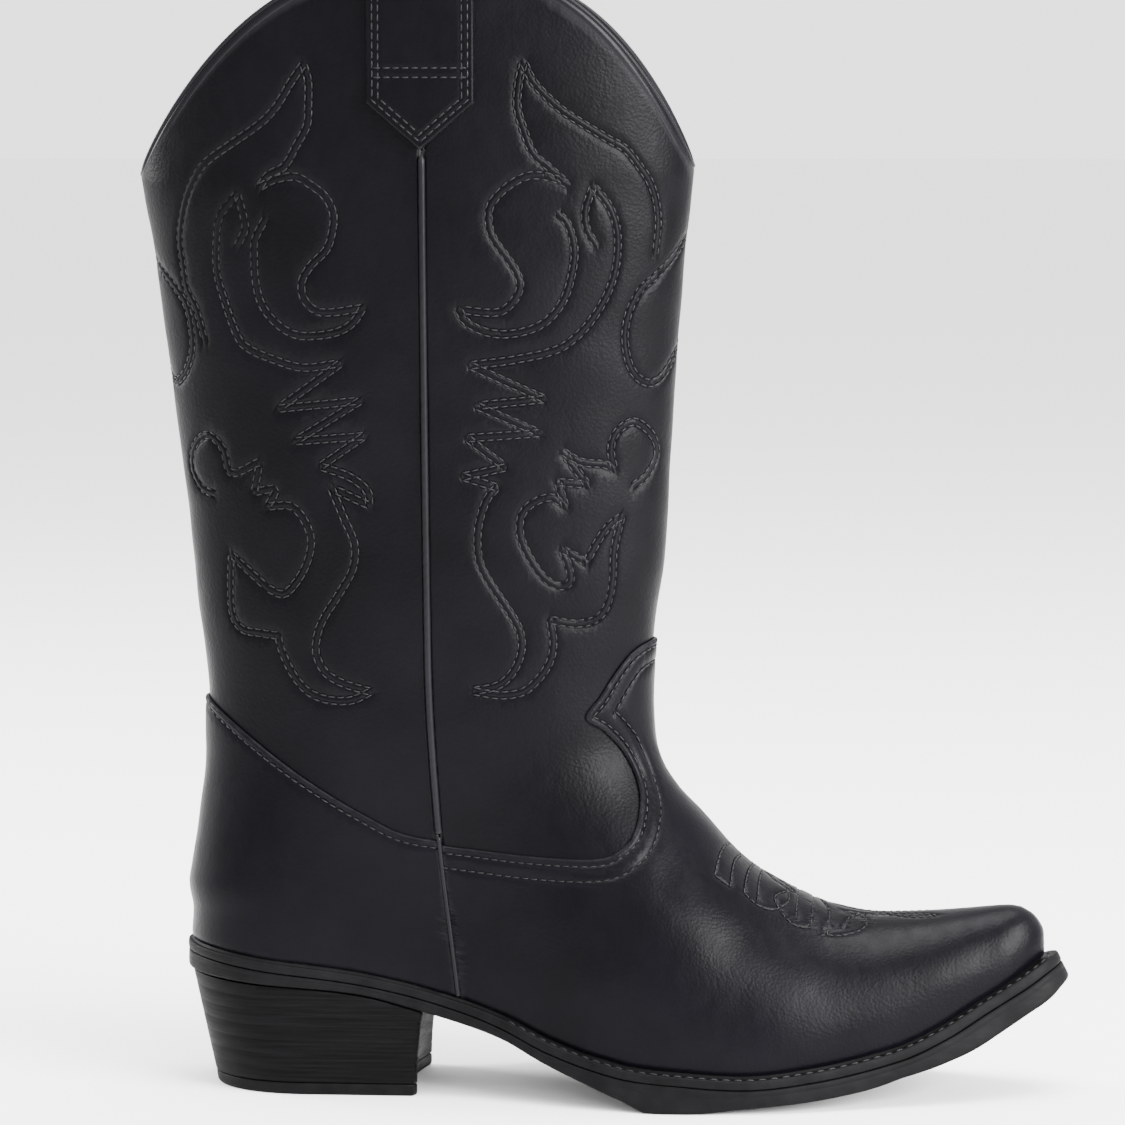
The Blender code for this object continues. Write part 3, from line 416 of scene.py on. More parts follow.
def spline(points, step=0.4):
    """Catmull-Rom curve through points, as a dense polyline."""
    points = np.array(points, float)
    if len(points) == 2:
        count = max(2, int(np.linalg.norm(points[1] - points[0]) / step))
        return points[0] + (points[1] - points[0]) * np.linspace(0, 1, count)[:, None]
    ends = np.concatenate([[2 * points[0] - points[1]], points, [2 * points[-1] - points[-2]]])
    line = []
    for a, b, c, d in zip(ends, ends[1:], ends[2:], ends[3:]):
        count = max(2, int(np.linalg.norm(c - b) / step))
        s = np.arange(count)[:, None] / count
        line.append(((2 * b) + (c - a) * s + (2 * a - 5 * b + 4 * c - d) * s ** 2
                     + (3 * b - a - 3 * c + d) * s ** 3) / 2)
    return np.concatenate(line + [points[-1:]])


def lengths(points):
    """Length of a polyline up to each of its points."""
    return np.concatenate([[0], np.cumsum(np.linalg.norm(np.diff(points, axis=0), axis=1))])


def spaced(points, pitch, shifts):
    """Points every pitch along a polyline, once for each shift along it."""
    run = lengths(points)
    count = int(run[-1] / pitch)
    at = (np.arange(count) + 0.5) * run[-1] / count
    return [np.stack([np.interp(at + shift, run, axis) for axis in points.T], axis=1)
            for shift in shifts]


def resample(places, step):
    """Places spaced evenly along their path on the base surface."""
    run = lengths(base_point(places[:, 0], places[:, 1]))
    count = max(2, int(round(run[-1] / step)) + 1)
    at = np.linspace(0, run[-1], count)
    return np.stack([np.interp(at, run, places[:, 0]), np.interp(at, run, places[:, 1])], axis=1)


def shifted(places, distance):
    """Path moved sideways on the surface, to the left of its run seen from outside."""
    t, theta = places.T
    points = base_point(t, theta)
    run = unit(np.gradient(points, axis=0))
    side = np.cross(normals(t, theta), run)
    rise_step, turn_step = 0.001, 0.003
    low, high = np.clip(t - rise_step, 0, 1), np.clip(t + rise_step, 0, 1)
    rise = (base_point(high, theta) - base_point(low, theta)) / (high - low)[:, None]
    turn = base_point(t, theta + turn_step) - base_point(t, theta - turn_step)
    turn /= 2 * turn_step
    rr, rt, tt = (rise * rise).sum(1), (rise * turn).sum(1), (turn * turn).sum(1)
    br, bt = (rise * side).sum(1) * distance, (turn * side).sum(1) * distance
    scale = np.maximum(rr * tt - rt * rt, 1e-6)
    return places + np.stack([(br * tt - bt * rt) / scale, (bt * rr - br * rt) / scale], axis=1)


def centre_of(backward):
    """Angle of the centre line of the front or the back half."""
    return math.pi if backward else 0.0


def mirrored(places, backward):
    """Places on the inner side that mirror those on the outer side."""
    theta = 2 * centre_of(backward) - places[:, 1]
    return np.stack([places[:, 0], theta], axis=1)


def both_sides(paths, backward):
    """Paths on the outer side with their mirror images."""
    return paths + [mirrored(path, backward)[::-1] for path in paths]


def tree_of(points):
    """KD tree over points."""
    tree = kdtree.KDTree(len(points))
    for index, point in enumerate(points):
        tree.insert(point, index)
    tree.balance()
    return tree


def distances(tree, points):
    """Distance from each point to the nearest point of the tree."""
    return np.array([tree.find(point)[2] for point in points])


def thinned(points, reach):
    """Indices of points kept so that no two are nearer than reach, the first ones first."""
    tree = tree_of(points)
    kept = np.ones(len(points), bool)
    for index, point in enumerate(points):
        if kept[index]:
            for _, other, _ in tree.find_range(point, reach):
                if other > index:
                    kept[other] = False
    return np.nonzero(kept)[0]


def unevenness(points):
    """Slow uneven rise of soft leather, from -1 to 1."""
    rise = np.zeros(len(points))
    for wave in WAVES:
        rise += wave[4] * np.sin(points @ wave[:3] + wave[3])
    return rise


def make_waves():
    """Directions, phases and strengths of the slow unevenness."""
    waves = []
    for length, strength in ((70, 0.35), (48, 0.25), (33, 0.2), (22, 0.12), (15, 0.08)):
        for _ in range(2):
            direction = unit(RNG.normal(size=3)) * 2 * math.pi / length
            waves.append(np.concatenate([direction, [RNG.uniform(0, 2 * math.pi), strength]]))
    return waves


WAVES = make_waves()


def new_object(name, mesh, material=None):
    """Object that shows a mesh."""
    thing = bpy.data.objects.new(name, mesh)
    bpy.context.scene.collection.objects.link(thing)
    if material:
        mesh.materials.append(material)
    return thing


def build(name, points, faces, material, sharp=40):
    """Object from points in millimetres and faces, with outward normals."""
    mesh = bpy.data.meshes.new(name)
    mesh.from_pydata((np.asarray(points, float) * MM).tolist(), [], faces)
    bm = bmesh.new()
    bm.from_mesh(mesh)
    bmesh.ops.remove_doubles(bm, verts=bm.verts, dist=0.000002)
    bmesh.ops.recalc_face_normals(bm, faces=bm.faces)
    bm.to_mesh(mesh)
    bm.free()
    mesh.shade_smooth()
    mesh.set_sharp_from_angle(angle=math.radians(sharp))
    return new_object(name, mesh, material)


def place(thing, nodes=(), body="root"):
    """Ride a piece on a body and hide the CAD nodes that it stands for."""
    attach(thing, body)
    if nodes:
        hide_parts(*nodes)


PANEL_SCALE = np.array([300.0, 75.0])


def triangulate(border, inner):
    """Triangles inside a border of places; gives places, faces and each border point's index."""
    count = len(border)
    flat = np.concatenate([border, inner]) * PANEL_SCALE
    found = delaunay_2d_cdt([Vector(p) for p in flat], [], [list(range(count))], 1, 1e-5)
    verts, faces, origins = np.array([tuple(v) for v in found[0]]), found[2], found[3]
    used = np.unique([i for face in faces for i in face])
    order = np.full(len(verts), -1)
    order[used] = np.arange(len(used))
    where = np.zeros(count, int)
    for index, sources in enumerate(origins):
        for source in sources:
            if source < count:
                where[source] = order[index]
    return verts[used] / PANEL_SCALE, [[int(order[i]) for i in face] for face in faces], where


RING_POINTS = 160
CLIMB_STEP = 0.01
RING_PACKING = 0.87


def filling(border, spacing):
    """Places spread evenly over a border's box, in staggered rings."""
    t_low, t_high = border[:, 0].min(), border[:, 0].max()
    a_low, a_high = border[:, 1].min(), border[:, 1].max()
    angles = np.linspace(a_low, a_high, RING_POINTS)
    places = []
    t = t_low
    while t < t_high:
        ring = base_point(np.full_like(angles, t), angles)
        run = lengths(ring)
        count = int(run[-1] / spacing)
        at = (np.arange(count) + 0.5 * (len(places) % 2) + 0.25) * spacing
        places.append(np.stack([np.full(count, t), np.interp(at, run, angles)], axis=1))
        above = base_point(np.full_like(angles, min(t + CLIMB_STEP, 1)), angles)
        climb = np.linalg.norm(above - ring, axis=1).max() / CLIMB_STEP
        t += spacing * RING_PACKING / climb
    return np.concatenate(places)


# Panel mesh: depth and reach of a row's groove and of the soft hollow around it, the extra
# lines of points beside rows and rolled edges, and the clearances between sets of points.
GROOVE = (0.42, 0.5)
PILLOW = (0.21, 3.2)
BUMPS = 0.28
ROW_STEP = 0.8
FILL_STEP = 2.3
SKIN_STEP = 7.0
ROW_LINES = (0.4, 0.9)
ROLL_LINES = (0.14, 0.4, 0.75, 1.2)
LINE_SPACING = 0.27
LINE_TO_EDGE = 0.1
FILL_TO_LINE = 1.0
FILL_TO_EDGE = 0.9
SKIN_TO_EDGE = 3
GROOVE_STEP = 0.2
ROLL_STEP = 0.15


def add_panel(name, border, rolled, rows, offset, material):
    """Leather panel with stitched grooves and rolled edges.

    rolled lists (path, radius, drop) of edges that turn in; rows lists the stitched paths.
    """
    soft = [resample(row, ROW_STEP) for row in rows]
    places = []
    for row in soft:
        places.append(row)
        for side in (-1, 1):
            places += [shifted(row, side * distance) for distance in ROW_LINES]
    for path, radius, _ in rolled:
        edge = resample(path, ROW_STEP)
        places += [shifted(edge, radius * share) for share in ROLL_LINES]
    edge_tree = tree_of(base_point(*border.T))
    lines = np.concatenate(places)
    lines = lines[thinned(base_point(*lines.T), LINE_SPACING)]
    lines = lines[distances(edge_tree, base_point(*lines.T)) > LINE_TO_EDGE]
    line_tree = tree_of(base_point(*lines.T))
    filled = filling(border, FILL_STEP)
    filled = filled[distances(line_tree, base_point(*filled.T)) > FILL_TO_LINE]
    filled = filled[distances(edge_tree, base_point(*filled.T)) > FILL_TO_EDGE]
    places, faces, rim = triangulate(border, np.concatenate([lines, filled]))
    points = base_point(*places.T)
    lift = np.full(len(points), offset) + BUMPS * unevenness(points)
    tree = tree_of(np.concatenate([base_point(*resample(row, GROOVE_STEP).T) for row in rows]))
    gap = distances(tree, points)
    lift -= GROOVE[0] * np.exp(-(gap / GROOVE[1]) ** 2) + PILLOW[0] * np.exp(-gap / PILLOW[1])
    for path, radius, drop in rolled:
        gap = distances(tree_of(base_point(*resample(path, ROLL_STEP).T)), points) / radius
        gap = np.clip(gap, 0, 1)
        lift -= drop * (1 - np.sqrt(1 - (1 - gap) ** 2))
    outer = points + normals(*places.T) * lift[:, None]
    skin_fill = filling(border, SKIN_STEP)
    skin_fill = skin_fill[distances(edge_tree, base_point(*skin_fill.T)) > SKIN_TO_EDGE]
    skin, skin_faces, skin_rim = triangulate(border, skin_fill)
    inner = surface(*skin.T, offset - LEATHER_THICK)
    start = len(outer)
    faces = faces + [[start + i for i in face[::-1]] for face in skin_faces]
    count = len(border)
    for k in range(count):
        n = (k + 1) % count
        faces.append([int(rim[k]), int(rim[n]), start + int(skin_rim[n]), start + int(skin_rim[k])])
    return build(name, np.concatenate([outer, inner]), faces, material)


# One thread of a stitch, as rings of (place along it, radius, depth).
STITCH_RINGS = ((-1.28, 0.1, -0.42), (-1.0, 0.24, -0.2), (-0.4, 0.3, -0.06), (0.4, 0.3, -0.06),
                (1.0, 0.24, -0.2), (1.28, 0.1, -0.42))
STITCH_SIDES = 6


def stitch_mesh(name, centres, runs, outward, material, scale=1.0, length=1.0):
    """Threads of a seam: one bent sausage for each stitch, all in one mesh."""
    side = unit(np.cross(outward, runs))
    rings = []
    for at, radius, dip in STITCH_RINGS:
        for k in range(STITCH_SIDES):
            turn = 2 * math.pi * k / STITCH_SIDES
            rings.append(centres + runs * at * length + outward * dip * scale
                         + (side * math.cos(turn) + outward * math.sin(turn)) * radius * scale)
    points = np.stack(rings, axis=1)
    size = points.shape[1]
    single = []
    for ring in range(len(STITCH_RINGS) - 1):
        for k in range(STITCH_SIDES):
            n = (k + 1) % STITCH_SIDES
            a, b = ring * STITCH_SIDES, (ring + 1) * STITCH_SIDES
            single.append([a + k, a + n, b + n, b + k])
    single.append(list(range(STITCH_SIDES))[::-1])
    single.append([size - STITCH_SIDES + k for k in range(STITCH_SIDES)])
    faces = [[stitch * size + i for i in face] for stitch in range(len(points)) for face in single]
    mesh = bpy.data.meshes.new(name)
    mesh.from_pydata((points.reshape(-1, 3) * MM).tolist(), [], faces)
    mesh.shade_smooth()
    return new_object(name, mesh, material)


def add_stitches(name, rows, offset, material, pitch=3.0, scale=1.0):
    """Stitches along rows of places, lying in their grooves."""
    centres, runs, outward = [], [], []
    for row in rows:
        line = resample(row, pitch / 2)
        points = surface(*line.T, offset)
        middles = points[1:-1:2]
        if not len(middles):
            continue
        ahead, behind = points[2::2], points[0:-2:2]
        centres.append(middles)
        runs.append(unit(ahead - behind))
        outward.append(normals(*line[1:-1:2].T))
    return stitch_mesh(name, np.concatenate(centres), np.concatenate(runs),
                       np.concatenate(outward), material, scale)


def block(name, levels, material, sharp=40):
    """Closed solid between stacked grids of points; each level is (stations, columns, 3)."""
    stations, columns = levels[0].shape[:2]
    rim = [(0, j) for j in range(columns)]
    rim += [(i, columns - 1) for i in range(1, stations)]
    rim += [(stations - 1, j) for j in range(columns - 2, -1, -1)]
    rim += [(i, 0) for i in range(stations - 2, 0, -1)]
    points = [p for level in (levels[0], levels[-1]) for p in level.reshape(-1, 3)]
    size = stations * columns
    faces = []
    for i in range(stations - 1):
        for j in range(columns - 1):
            quad = [i * columns + j, (i + 1) * columns + j, (i + 1) * columns + j + 1,
                    i * columns + j + 1]
            faces.append(quad)
            faces.append([size + k for k in quad[::-1]])
    loops = [[i * columns + j for i, j in rim]]
    for level in levels[1:-1]:
        loops.append(list(range(len(points), len(points) + len(rim))))
        points.extend(level[c] for c in rim)
    loops.append([size + i * columns + j for i, j in rim])
    for lower, upper in zip(loops, loops[1:]):
        for k in range(len(rim)):
            n = (k + 1) % len(rim)
            faces.append([lower[n], lower[k], upper[k], upper[n]])
    return build(name, points, faces, material, sharp)


def sweep(name, rings, material, closed=False, sharp=50):
    """Solid through rings of points (stations, ring points, 3), capped unless it is closed."""
    stations, size = rings.shape[:2]
    faces = []
    for i in range(stations if closed else stations - 1):
        n = (i + 1) % stations
        for k in range(size):
            m = (k + 1) % size
            faces.append([i * size + k, i * size + m, n * size + m, n * size + k])
    if not closed:
        faces.append(list(range(size)))
        faces.append([(stations - 1) * size + k for k in range(size)][::-1])
    return build(name, rings.reshape(-1, 3), faces, material, sharp)


def node(tree, kind, **settings):
    """New shader node with its settings; names that start with in_ are input values."""
    made = tree.nodes.new(kind)
    for key, value in settings.items():
        if key.startswith("in_"):
            made.inputs[key[3:].replace("_", " ")].default_value = value
        else:
            setattr(made, key, value)
    return made


def noise(tree, scale, detail=3.0, rough=0.55, stretch=None, distortion=0.0):
    """Noise over the object's own coordinates, in metres; stretch scales each axis."""
    place_node = node(tree, "ShaderNodeTexCoord")
    source = place_node.outputs["Object"]
    if stretch:
        mapping = node(tree, "ShaderNodeMapping", in_Scale=stretch)
        tree.links.new(source, mapping.inputs["Vector"])
        source = mapping.outputs["Vector"]
    made = node(tree, "ShaderNodeTexNoise", in_Scale=scale, in_Detail=detail, in_Roughness=rough,
                in_Distortion=distortion)
    tree.links.new(source, made.inputs["Vector"])
    return made.outputs["Fac"]


def cells(tree, scale, feature="F1"):
    """Distance to the cells' points or edges, over the object's own coordinates."""
    place_node = node(tree, "ShaderNodeTexCoord")
    made = node(tree, "ShaderNodeTexVoronoi", feature=feature, in_Scale=scale)
    tree.links.new(place_node.outputs["Object"], made.inputs["Vector"])
    return made.outputs["Distance"]


def spread(tree, source, low, high, to_low, to_high):
    """Value mapped from one range to another, clamped."""
    made = node(tree, "ShaderNodeMapRange", in_From_Min=low, in_From_Max=high, in_To_Min=to_low,
                in_To_Max=to_high)
    tree.links.new(source, made.inputs["Value"])
    return made.outputs["Result"]


def blend_colour(tree, factor, first, second):
    """Mix of two colours by a factor."""
    made = node(tree, "ShaderNodeMix", data_type="RGBA")
    made.inputs[6].default_value = (*first, 1)
    made.inputs[7].default_value = (*second, 1)
    tree.links.new(factor, made.inputs[0])
    return made.outputs[2]


def bumped(tree, heights):
    """Normal after a chain of bumps; heights lists (value, strength, depth in metres)."""
    normal = None
    for value, strength, depth in heights:
        made = node(tree, "ShaderNodeBump", in_Strength=strength, in_Distance=depth)
        tree.links.new(value, made.inputs["Height"])
        if normal:
            tree.links.new(normal, made.inputs["Normal"])
        normal = made.outputs["Normal"]
    return normal


def new_material(name):
    """Empty Principled material: its tree and its shader."""
    material = bpy.data.materials.new(name)
    material.use_nodes = True
    return material, material.node_tree, material.node_tree.nodes["Principled BSDF"]


LEATHER_SPECULAR = 0.045


def leather(name, dark, light, rough, grain=1.0, wear=0.12, coat=0.0):
    """Smooth black leather: fine pebble grain, pores, slow tone changes and rubbed high spots."""
    material, tree, shader = new_material(name)
    pebble = cells(tree, 950)
    fine = noise(tree, 1600, 4.0)
    slow = noise(tree, 26, 3.0)
    creases = noise(tree, 210, 5.0, 0.6, (1, 1, 0.45), 0.5)
    tone = spread(tree, slow, 0.35, 0.7, 0.0, 1.0)
    shader_colour = blend_colour(tree, tone, dark, light)
    geometry = node(tree, "ShaderNodeNewGeometry")
    rubbed = spread(tree, geometry.outputs["Pointiness"], 0.52, 0.62, 0.0, wear)
    edge = node(tree, "ShaderNodeMix", data_type="RGBA")
    edge.inputs[7].default_value = (0.09, 0.088, 0.095, 1)
    tree.links.new(rubbed, edge.inputs[0])
    tree.links.new(shader_colour, edge.inputs[6])
    tree.links.new(edge.outputs[2], shader.inputs["Base Color"])
    tree.links.new(spread(tree, creases, 0.3, 0.75, rough - 0.05, rough + 0.09),
                   shader.inputs["Roughness"])
    shader.inputs["Specular IOR Level"].default_value = LEATHER_SPECULAR
    shader.inputs["Coat Weight"].default_value = coat
    shader.inputs["Coat Roughness"].default_value = 0.22
    tree.links.new(bumped(tree, [(creases, 0.18 * grain, 0.0005), (pebble, 0.28 * grain, 0.00022),
                                 (fine, 0.22 * grain, 0.00012)]), shader.inputs["Normal"])
    return material


def thread(name, colour):
    """Waxed sewing thread with its twist."""
    material, tree, shader = new_material(name)
    place_node = node(tree, "ShaderNodeTexCoord")
    twist = node(tree, "ShaderNodeTexWave", in_Scale=900, in_Distortion=1.5)
    tree.links.new(place_node.outputs["Object"], twist.inputs["Vector"])
    fuzz = noise(tree, 5200, 3.0)
    tree.links.new(blend_colour(tree, fuzz, tuple(c * 0.55 for c in colour), colour),
                   shader.inputs["Base Color"])
    shader.inputs["Roughness"].default_value = 0.42
    shader.inputs["Specular IOR Level"].default_value = 0.15
    tree.links.new(bumped(tree, [(twist.outputs["Fac"], 0.4, 0.0001), (fuzz, 0.3, 0.00006)]),
                   shader.inputs["Normal"])
    return material


def rubber(name, dark, light, rough):
    """Matte moulded rubber with a fine haze and scuffs."""
    material, tree, shader = new_material(name)
    haze = noise(tree, 120, 5.0, 0.65)
    grit = noise(tree, 2600, 3.0)
    scuffs = noise(tree, 300, 4.0, 0.7, (0.25, 1, 2.5))
    tone = spread(tree, haze, 0.35, 0.7, 0.0, 1.0)
    tree.links.new(blend_colour(tree, tone, dark, light), shader.inputs["Base Color"])
    tree.links.new(spread(tree, scuffs, 0.3, 0.75, rough - 0.1, rough + 0.1),
                   shader.inputs["Roughness"])
    shader.inputs["Specular IOR Level"].default_value = 0.05
    tree.links.new(bumped(tree, [(scuffs, 0.2, 0.0002), (grit, 0.25, 0.0001)]),
                   shader.inputs["Normal"])
    return material


def stacked(name, dark, light):
    """Blackened stacked heel: long horizontal streaks of the layers under a thin finish."""
    material, tree, shader = new_material(name)
    streaks = noise(tree, 90, 6.0, 0.6, (0.35, 0.35, 14))
    broad = noise(tree, 60, 4.0, 0.6, (0.8, 0.8, 4))
    grit = noise(tree, 2400, 3.0)
    tree.links.new(blend_colour(tree, spread(tree, streaks, 0.38, 0.66, 0.0, 1.0), dark, light),
                   shader.inputs["Base Color"])
    tree.links.new(spread(tree, broad, 0.3, 0.7, 0.42, 0.62), shader.inputs["Roughness"])
    shader.inputs["Specular IOR Level"].default_value = 0.04
    tree.links.new(bumped(tree, [(streaks, 0.45, 0.00035), (grit, 0.2, 0.00008)]),
                   shader.inputs["Normal"])
    return material


def textile(name, dark, light, scale=1500):
    """Woven or fleecy cloth with a fine crossed weave."""
    material, tree, shader = new_material(name)
    place_node = node(tree, "ShaderNodeTexCoord")
    weave = []
    for direction in ("X", "Z"):
        band = node(tree, "ShaderNodeTexWave", bands_direction=direction, in_Scale=scale / 6,
                    in_Distortion=0.6)
        tree.links.new(place_node.outputs["Object"], band.inputs["Vector"])
        weave.append(band.outputs["Fac"])
    crossed = node(tree, "ShaderNodeMath", operation="MAXIMUM")
    tree.links.new(weave[0], crossed.inputs[0])
    tree.links.new(weave[1], crossed.inputs[1])
    fuzz = noise(tree, scale, 4.0)
    tree.links.new(blend_colour(tree, fuzz, dark, light), shader.inputs["Base Color"])
    shader.inputs["Roughness"].default_value = 0.92
    shader.inputs["Sheen Weight"].default_value = 0.15
    tree.links.new(bumped(tree, [(crossed.outputs[0], 0.5, 0.00025), (fuzz, 0.4, 0.0002)]),
                   shader.inputs["Normal"])
    return material


def fibre(name, dark, light, scale=700, rough=0.85):
    """Pressed board or cork with flecks."""
    material, tree, shader = new_material(name)
    flecks = cells(tree, scale)
    fine = noise(tree, scale * 3, 4.0)
    tree.links.new(blend_colour(tree, spread(tree, flecks, 0.1, 0.8, 0.0, 1.0), dark, light),
                   shader.inputs["Base Color"])
    shader.inputs["Roughness"].default_value = rough
    tree.links.new(bumped(tree, [(fine, 0.4, 0.0002), (flecks, 0.25, 0.0002)]),
                   shader.inputs["Normal"])
    return material


def brushed_steel(name):
    """Rolled steel with lengthwise scratches."""
    material, tree, shader = new_material(name)
    scratches = noise(tree, 500, 4.0, 0.6, (0.1, 2, 2))
    shader.inputs["Metallic"].default_value = 1.0
    tree.links.new(blend_colour(tree, scratches, (0.3, 0.3, 0.32), (0.55, 0.55, 0.57)),
                   shader.inputs["Base Color"])
    tree.links.new(spread(tree, scratches, 0.3, 0.7, 0.28, 0.45), shader.inputs["Roughness"])
    tree.links.new(bumped(tree, [(scratches, 0.2, 0.0001)]), shader.inputs["Normal"])
    return material


UPPER = leather("upper_leather", (0.0008, 0.0007, 0.0012), (0.0016, 0.0015, 0.0023), 0.37, 1.0)
VAMP_LEATHER = leather("vamp_leather", (0.0008, 0.0007, 0.0013), (0.0017, 0.0015, 0.0025), 0.34, 0.7)
TRIM = leather("trim_leather", (0.0016, 0.0015, 0.0022), (0.003, 0.0028, 0.004), 0.32, 0.5, 0.12, 0.05)
STRAP = leather("strap_leather", (0.0007, 0.0007, 0.0011), (0.0014, 0.0013, 0.002), 0.33, 0.7)
THREAD = thread("tonal_thread", (0.006, 0.0058, 0.0072))
TOE_THREAD = thread("toe_thread", (0.002, 0.002, 0.0025))
RUBBER = rubber("sole_rubber", (0.0016, 0.0016, 0.0018), (0.0034, 0.0034, 0.0037), 0.58)
LIFT_RUBBER = rubber("lift_rubber", (0.0016, 0.0016, 0.0018), (0.0034, 0.0034, 0.0037), 0.6)
HEEL = stacked("heel_stack", (0.0005, 0.0005, 0.0006), (0.0024, 0.0023, 0.0026))
LINING = textile("lining_textile", (0.012, 0.012, 0.0125), (0.026, 0.026, 0.027))
SOCK = textile("sock_cover", (0.014, 0.014, 0.015), (0.03, 0.03, 0.032), 1100)
BOARD = fibre("fibre_board", (0.2, 0.14, 0.09), (0.42, 0.32, 0.22))
CORK = fibre("cork_filler", (0.12, 0.07, 0.035), (0.42, 0.28, 0.16), 420, 0.9)
STEEL = brushed_steel("brushed_steel")

# Panel borders: gaps beside the side seams, step between border points, and a small margin.
SHAFT_SEAM_GAP = 0.95
FOOT_SEAM_GAP = 0.35
BORDER_STEP = 0.9
INSIDE = 0.001


def edge_path(points, backward, gap):
    """Panel edge on the outer side, from the side seam to the centre line."""
    places = locate(spline(points))
    if places[0, 1] < places[-1, 1] and not backward or places[0, 1] > places[-1, 1] and backward:
        places = places[::-1]
    limit = seam_angle(places[:, 0], gap, backward)
    centre = centre_of(backward)
    sign = -1 if backward else 1
    kept = places[(sign * places[:, 1] < sign * limit - INSIDE)
                  & (sign * (places[:, 1] - centre) > INSIDE)]
    first, last = kept[0, 0], kept[-1, 0]
    start = [[first, float(seam_angle(first, gap, backward))]]
    return np.concatenate([start, kept, [[last, centre]]])


def seam_edge(low, high, backward, gap):
    """Panel edge beside the outer side seam, from station low to station high."""
    t = np.linspace(low, high, 160)
    return np.stack([t, seam_angle(t, gap, backward)], axis=1)


def ring_edge(t, backward, gap):
    """Panel edge along a ring, from the side seam to the centre line."""
    angles = np.linspace(float(seam_angle(t, gap, backward)), centre_of(backward), 240)
    return np.stack([np.full_like(angles, t), angles], axis=1)


def closed_border(sections, backward):
    """Border ring from the sections of its outer half, evenly spaced and mirrored."""
    half = [resample(section, BORDER_STEP) for section in sections]
    line = np.concatenate([half[0]] + [section[1:] for section in half[1:]])
    return np.concatenate([line, mirrored(line, backward)[::-1][1:-1]])


def upper_sections(top, bottom, backward, gap):
    """Outer half of a panel's border, with the panel on the left of its run.

    top and bottom run from the side seam to the centre line.
    """
    seam = seam_edge(bottom[0, 0], top[0, 0], backward, gap)
    if backward:
        return [bottom[::-1], seam, top]
    return [top[::-1], seam[::-1], bottom]


def pattern_rows(strokes, backward):
    """Paired stitched rows of a pattern on both sides of the boot."""
    rows = []
    for stroke in strokes:
        places = locate(spline(stroke))
        keep = np.concatenate([[True], np.abs(np.diff(places, axis=0)).sum(1) > 1e-5])
        places = resample(places[keep], PATH_STEP)
        rows += [shifted(places, -ROW_PAIR / 2), shifted(places, ROW_PAIR / 2)]
    return both_sides(rows, backward)


# Folded edges of the panels: radius of the roll and its drop, then the stitched rows inside
# them and the threads.
SEAM_ROLL = (0.9, 0.6)
TOP_ROLL = (1.1, 0.85)
LASTED_ROLL = (2.2, 1.1)
EDGE_ROWS = (2.4, 7.4)
SHORTEST_ROW = 6
CLEAR_SHARE = 0.86
PATH_STEP = 0.6
THREAD_SINK = 0.42
TOE_PITCH = 2.6
TOE_THREAD_SCALE = 1.1


def inset_rows(edge, inset):
    """Rows at a distance inside a folded edge, without the stretches where they would cross."""
    row = shifted(resample(edge, PATH_STEP), inset)
    points = base_point(*row.T)
    edge_tree = tree_of(base_point(*resample(edge, PATH_STEP / 2).T))
    inside = distances(edge_tree, points) > inset * CLEAR_SHARE
    breaks = np.nonzero(np.diff(inside.astype(int)))[0] + 1
    return [part for part, keep in zip(np.split(row, breaks), np.split(inside, breaks))
            if keep[0] and len(part) > SHORTEST_ROW]


def rolls(path, roll, backward):
    """Rolled edges along a path and its mirror image."""
    return [(side, *roll) for side in both_sides([path], backward)]


def add_stitched(names, border, rolled, rows, toe_rows, offset, material):
    """Panel with the threads of its rows; names are the CAD node, the panel and the threads."""
    node_name, panel_name, threads_name = names
    panel = add_panel(panel_name, border, rolled, rows + toe_rows, offset, material)
    place(panel, [node_name])
    place(add_stitches(threads_name, rows, offset - THREAD_SINK, THREAD))
    if toe_rows:
        stitches = add_stitches("toe_stitching", toe_rows, offset - THREAD_SINK, TOE_THREAD,
                                TOE_PITCH, TOE_THREAD_SCALE)
        place(stitches)


def add_upper():
    """Shaft panels, vamp and counter with their stitching."""
    for label, backward, pattern, lower in (("front", False, FRONT_PATTERN, SHAFT_LOWER_FRONT),
                                            ("back", True, BACK_PATTERN, SHAFT_LOWER_BACK)):
        bottom = edge_path(lower, backward, SHAFT_SEAM_GAP)
        top = ring_edge(1.0, backward, SHAFT_SEAM_GAP)
        sections = upper_sections(top, bottom, backward, SHAFT_SEAM_GAP)
        border = closed_border(sections, backward)
        names = [text % label for text in ("shaft_%s_panel", "shaft_%s_panel_leather",
                                           "shaft_%s_stitching")]
        add_stitched(names, border, rolls(sections[1], SEAM_ROLL, backward),
                     pattern_rows(pattern, backward), [], SHAFT_OFFSET, UPPER)
    for name, label, backward, outline in (("vamp", "vamp", False, VAMP_EDGE),
                                           ("heel_counter", "counter", True, COUNTER_EDGE)):
        top = edge_path(outline, backward, FOOT_SEAM_GAP)
        bottom = ring_edge(0.0, backward, FOOT_SEAM_GAP)
        sections = upper_sections(top, bottom, backward, FOOT_SEAM_GAP)
        border = closed_border(sections, backward)
        top_edge = top if backward else top[::-1]
        bottom_edge = bottom[::-1] if backward else bottom
        rolled = (rolls(top_edge, TOP_ROLL, backward) + rolls(sections[1], SEAM_ROLL, backward)
                  + rolls(bottom_edge, LASTED_ROLL, backward))
        edge_rows = []
        for inset in EDGE_ROWS[:1] if backward else EDGE_ROWS:
            edge_rows += inset_rows(top_edge, inset)
        toe_rows = []
        if not backward:
            toe_rows = both_sides([resample(locate_plan(spline(stroke)), PATH_STEP)
                                   for stroke in TOE_PATTERN], backward)
        names = (name, label + "_leather", label + "_edge_stitching")
        add_stitched(names, border, rolled, both_sides(edge_rows, backward), toe_rows,
                     VAMP_OFFSET, VAMP_LEATHER)


